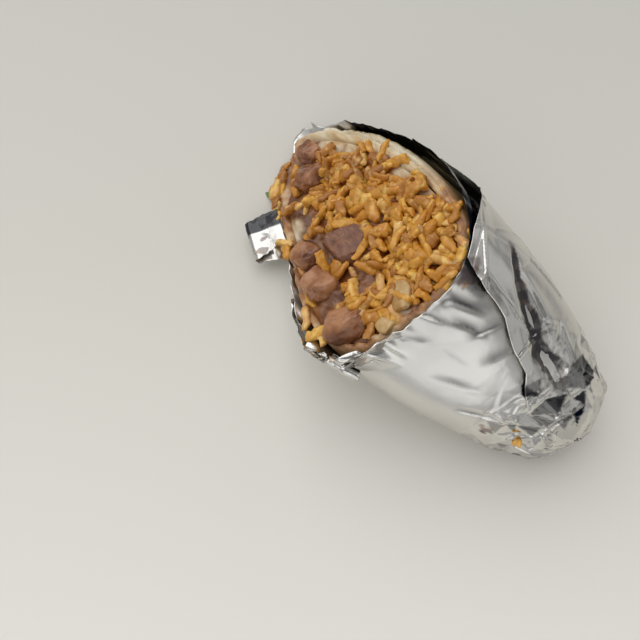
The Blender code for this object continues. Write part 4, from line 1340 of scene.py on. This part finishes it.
def makeFloor():
    material, tree, shader = newMaterial("pale_floor")
    place = addNode(tree, "ShaderNodeTexCoord").outputs["Object"]
    parts = addNode(tree, "ShaderNodeSeparateXYZ", None, {0: place})
    # painted shade across the floor: grey on one side, near-white on the other
    across = addNode(tree, "ShaderNodeMath", {"operation": "SUBTRACT"}, {0: parts.outputs["X"], 1: parts.outputs["Y"]})
    near = addNode(tree, "ShaderNodeMath", {"operation": "MULTIPLY_ADD"}, {0: across.outputs[0], 1: 2.0, 2: 0.5})
    shade = rampNode(tree, near.outputs[0], ((0.0, linear("#c9c7c1")), (0.45, linear("#d9d6cd")), (1.0, linear("#f9f6ee"))))
    tree.links.new(shade, shader.inputs["Base Color"])
    shader.inputs["Roughness"].default_value = 0.7
    mesh = bpy.data.meshes.new("floor")
    side = 1.5
    mesh.from_pydata([(-side, -side, 0), (side, -side, 0), (side, side, 0), (-side, side, 0)], [], [(0, 1, 2, 3)])
    floor = addObject("floor", mesh, material)


def makeLight(name, place, aim, size, power, colour="#ffffff"):
    lamp = bpy.data.lights.new(name, "AREA")
    lamp.shape = "DISK"
    lamp.size = size
    lamp.energy = power
    lamp.color = linear(colour)[:3]
    thing = bpy.data.objects.new(name, lamp)
    thing.location = place
    thing.rotation_euler = (Vector(aim) - Vector(place)).to_track_quat("-Z", "Y").to_euler()
    bpy.context.scene.collection.objects.link(thing)


def makeWorld():
    # a pale room: bright low on one side, dimmer on the other, with a dark ceiling right overhead
    world = bpy.data.worlds.new("studio")
    world.use_nodes = True
    tree = world.node_tree
    background = tree.nodes["Background"]
    place = addNode(tree, "ShaderNodeTexCoord").outputs["Generated"]
    parts = addNode(tree, "ShaderNodeSeparateXYZ", None, {0: place})
    height = rampNode(tree, parts.outputs["Z"], ((0.0, 0.55), (0.2, 0.80), (0.45, 1.0), (0.75, 0.85), (0.9, 0.35),
                                                 (1.0, 0.25)))
    side = addNode(tree, "ShaderNodeMath", {"operation": "MULTIPLY_ADD"}, {0: parts.outputs["Y"], 1: -0.5, 2: 0.5})
    dim = rampNode(tree, side.outputs[0], ((0.0, 1.0), (0.45, 0.92), (1.0, 0.84)))
    patches = addNode(tree, "ShaderNodeTexNoise", None, {"Vector": place, "Scale": 2.6, "Detail": 1.0}).outputs["Fac"]
    uneven = rampNode(tree, patches, ((0.36, 0.30), (0.45, 0.90), (0.62, 1.12)))
    both = addNode(tree, "ShaderNodeMath", {"operation": "MULTIPLY"}, {0: height, 1: dim})
    level = addNode(tree, "ShaderNodeMath", {"operation": "MULTIPLY"}, {0: both.outputs[0], 1: uneven})
    tree.links.new(level.outputs[0], background.inputs["Color"])
    background.inputs["Strength"].default_value = 0.66
    bpy.context.scene.world = world


makeCamera()
makeFloor()
makeLight("key_light", (-0.6, 0.1, 1.0), (0, 0, 0), 1.7, 10.0)
makeLight("fill_light", (0.7, -0.8, 0.8), (0, 0, 0), 1.4, 2.9)
makeWorld()
bpy.context.scene.view_settings.view_transform = "Standard"
stage("floor, light and camera")
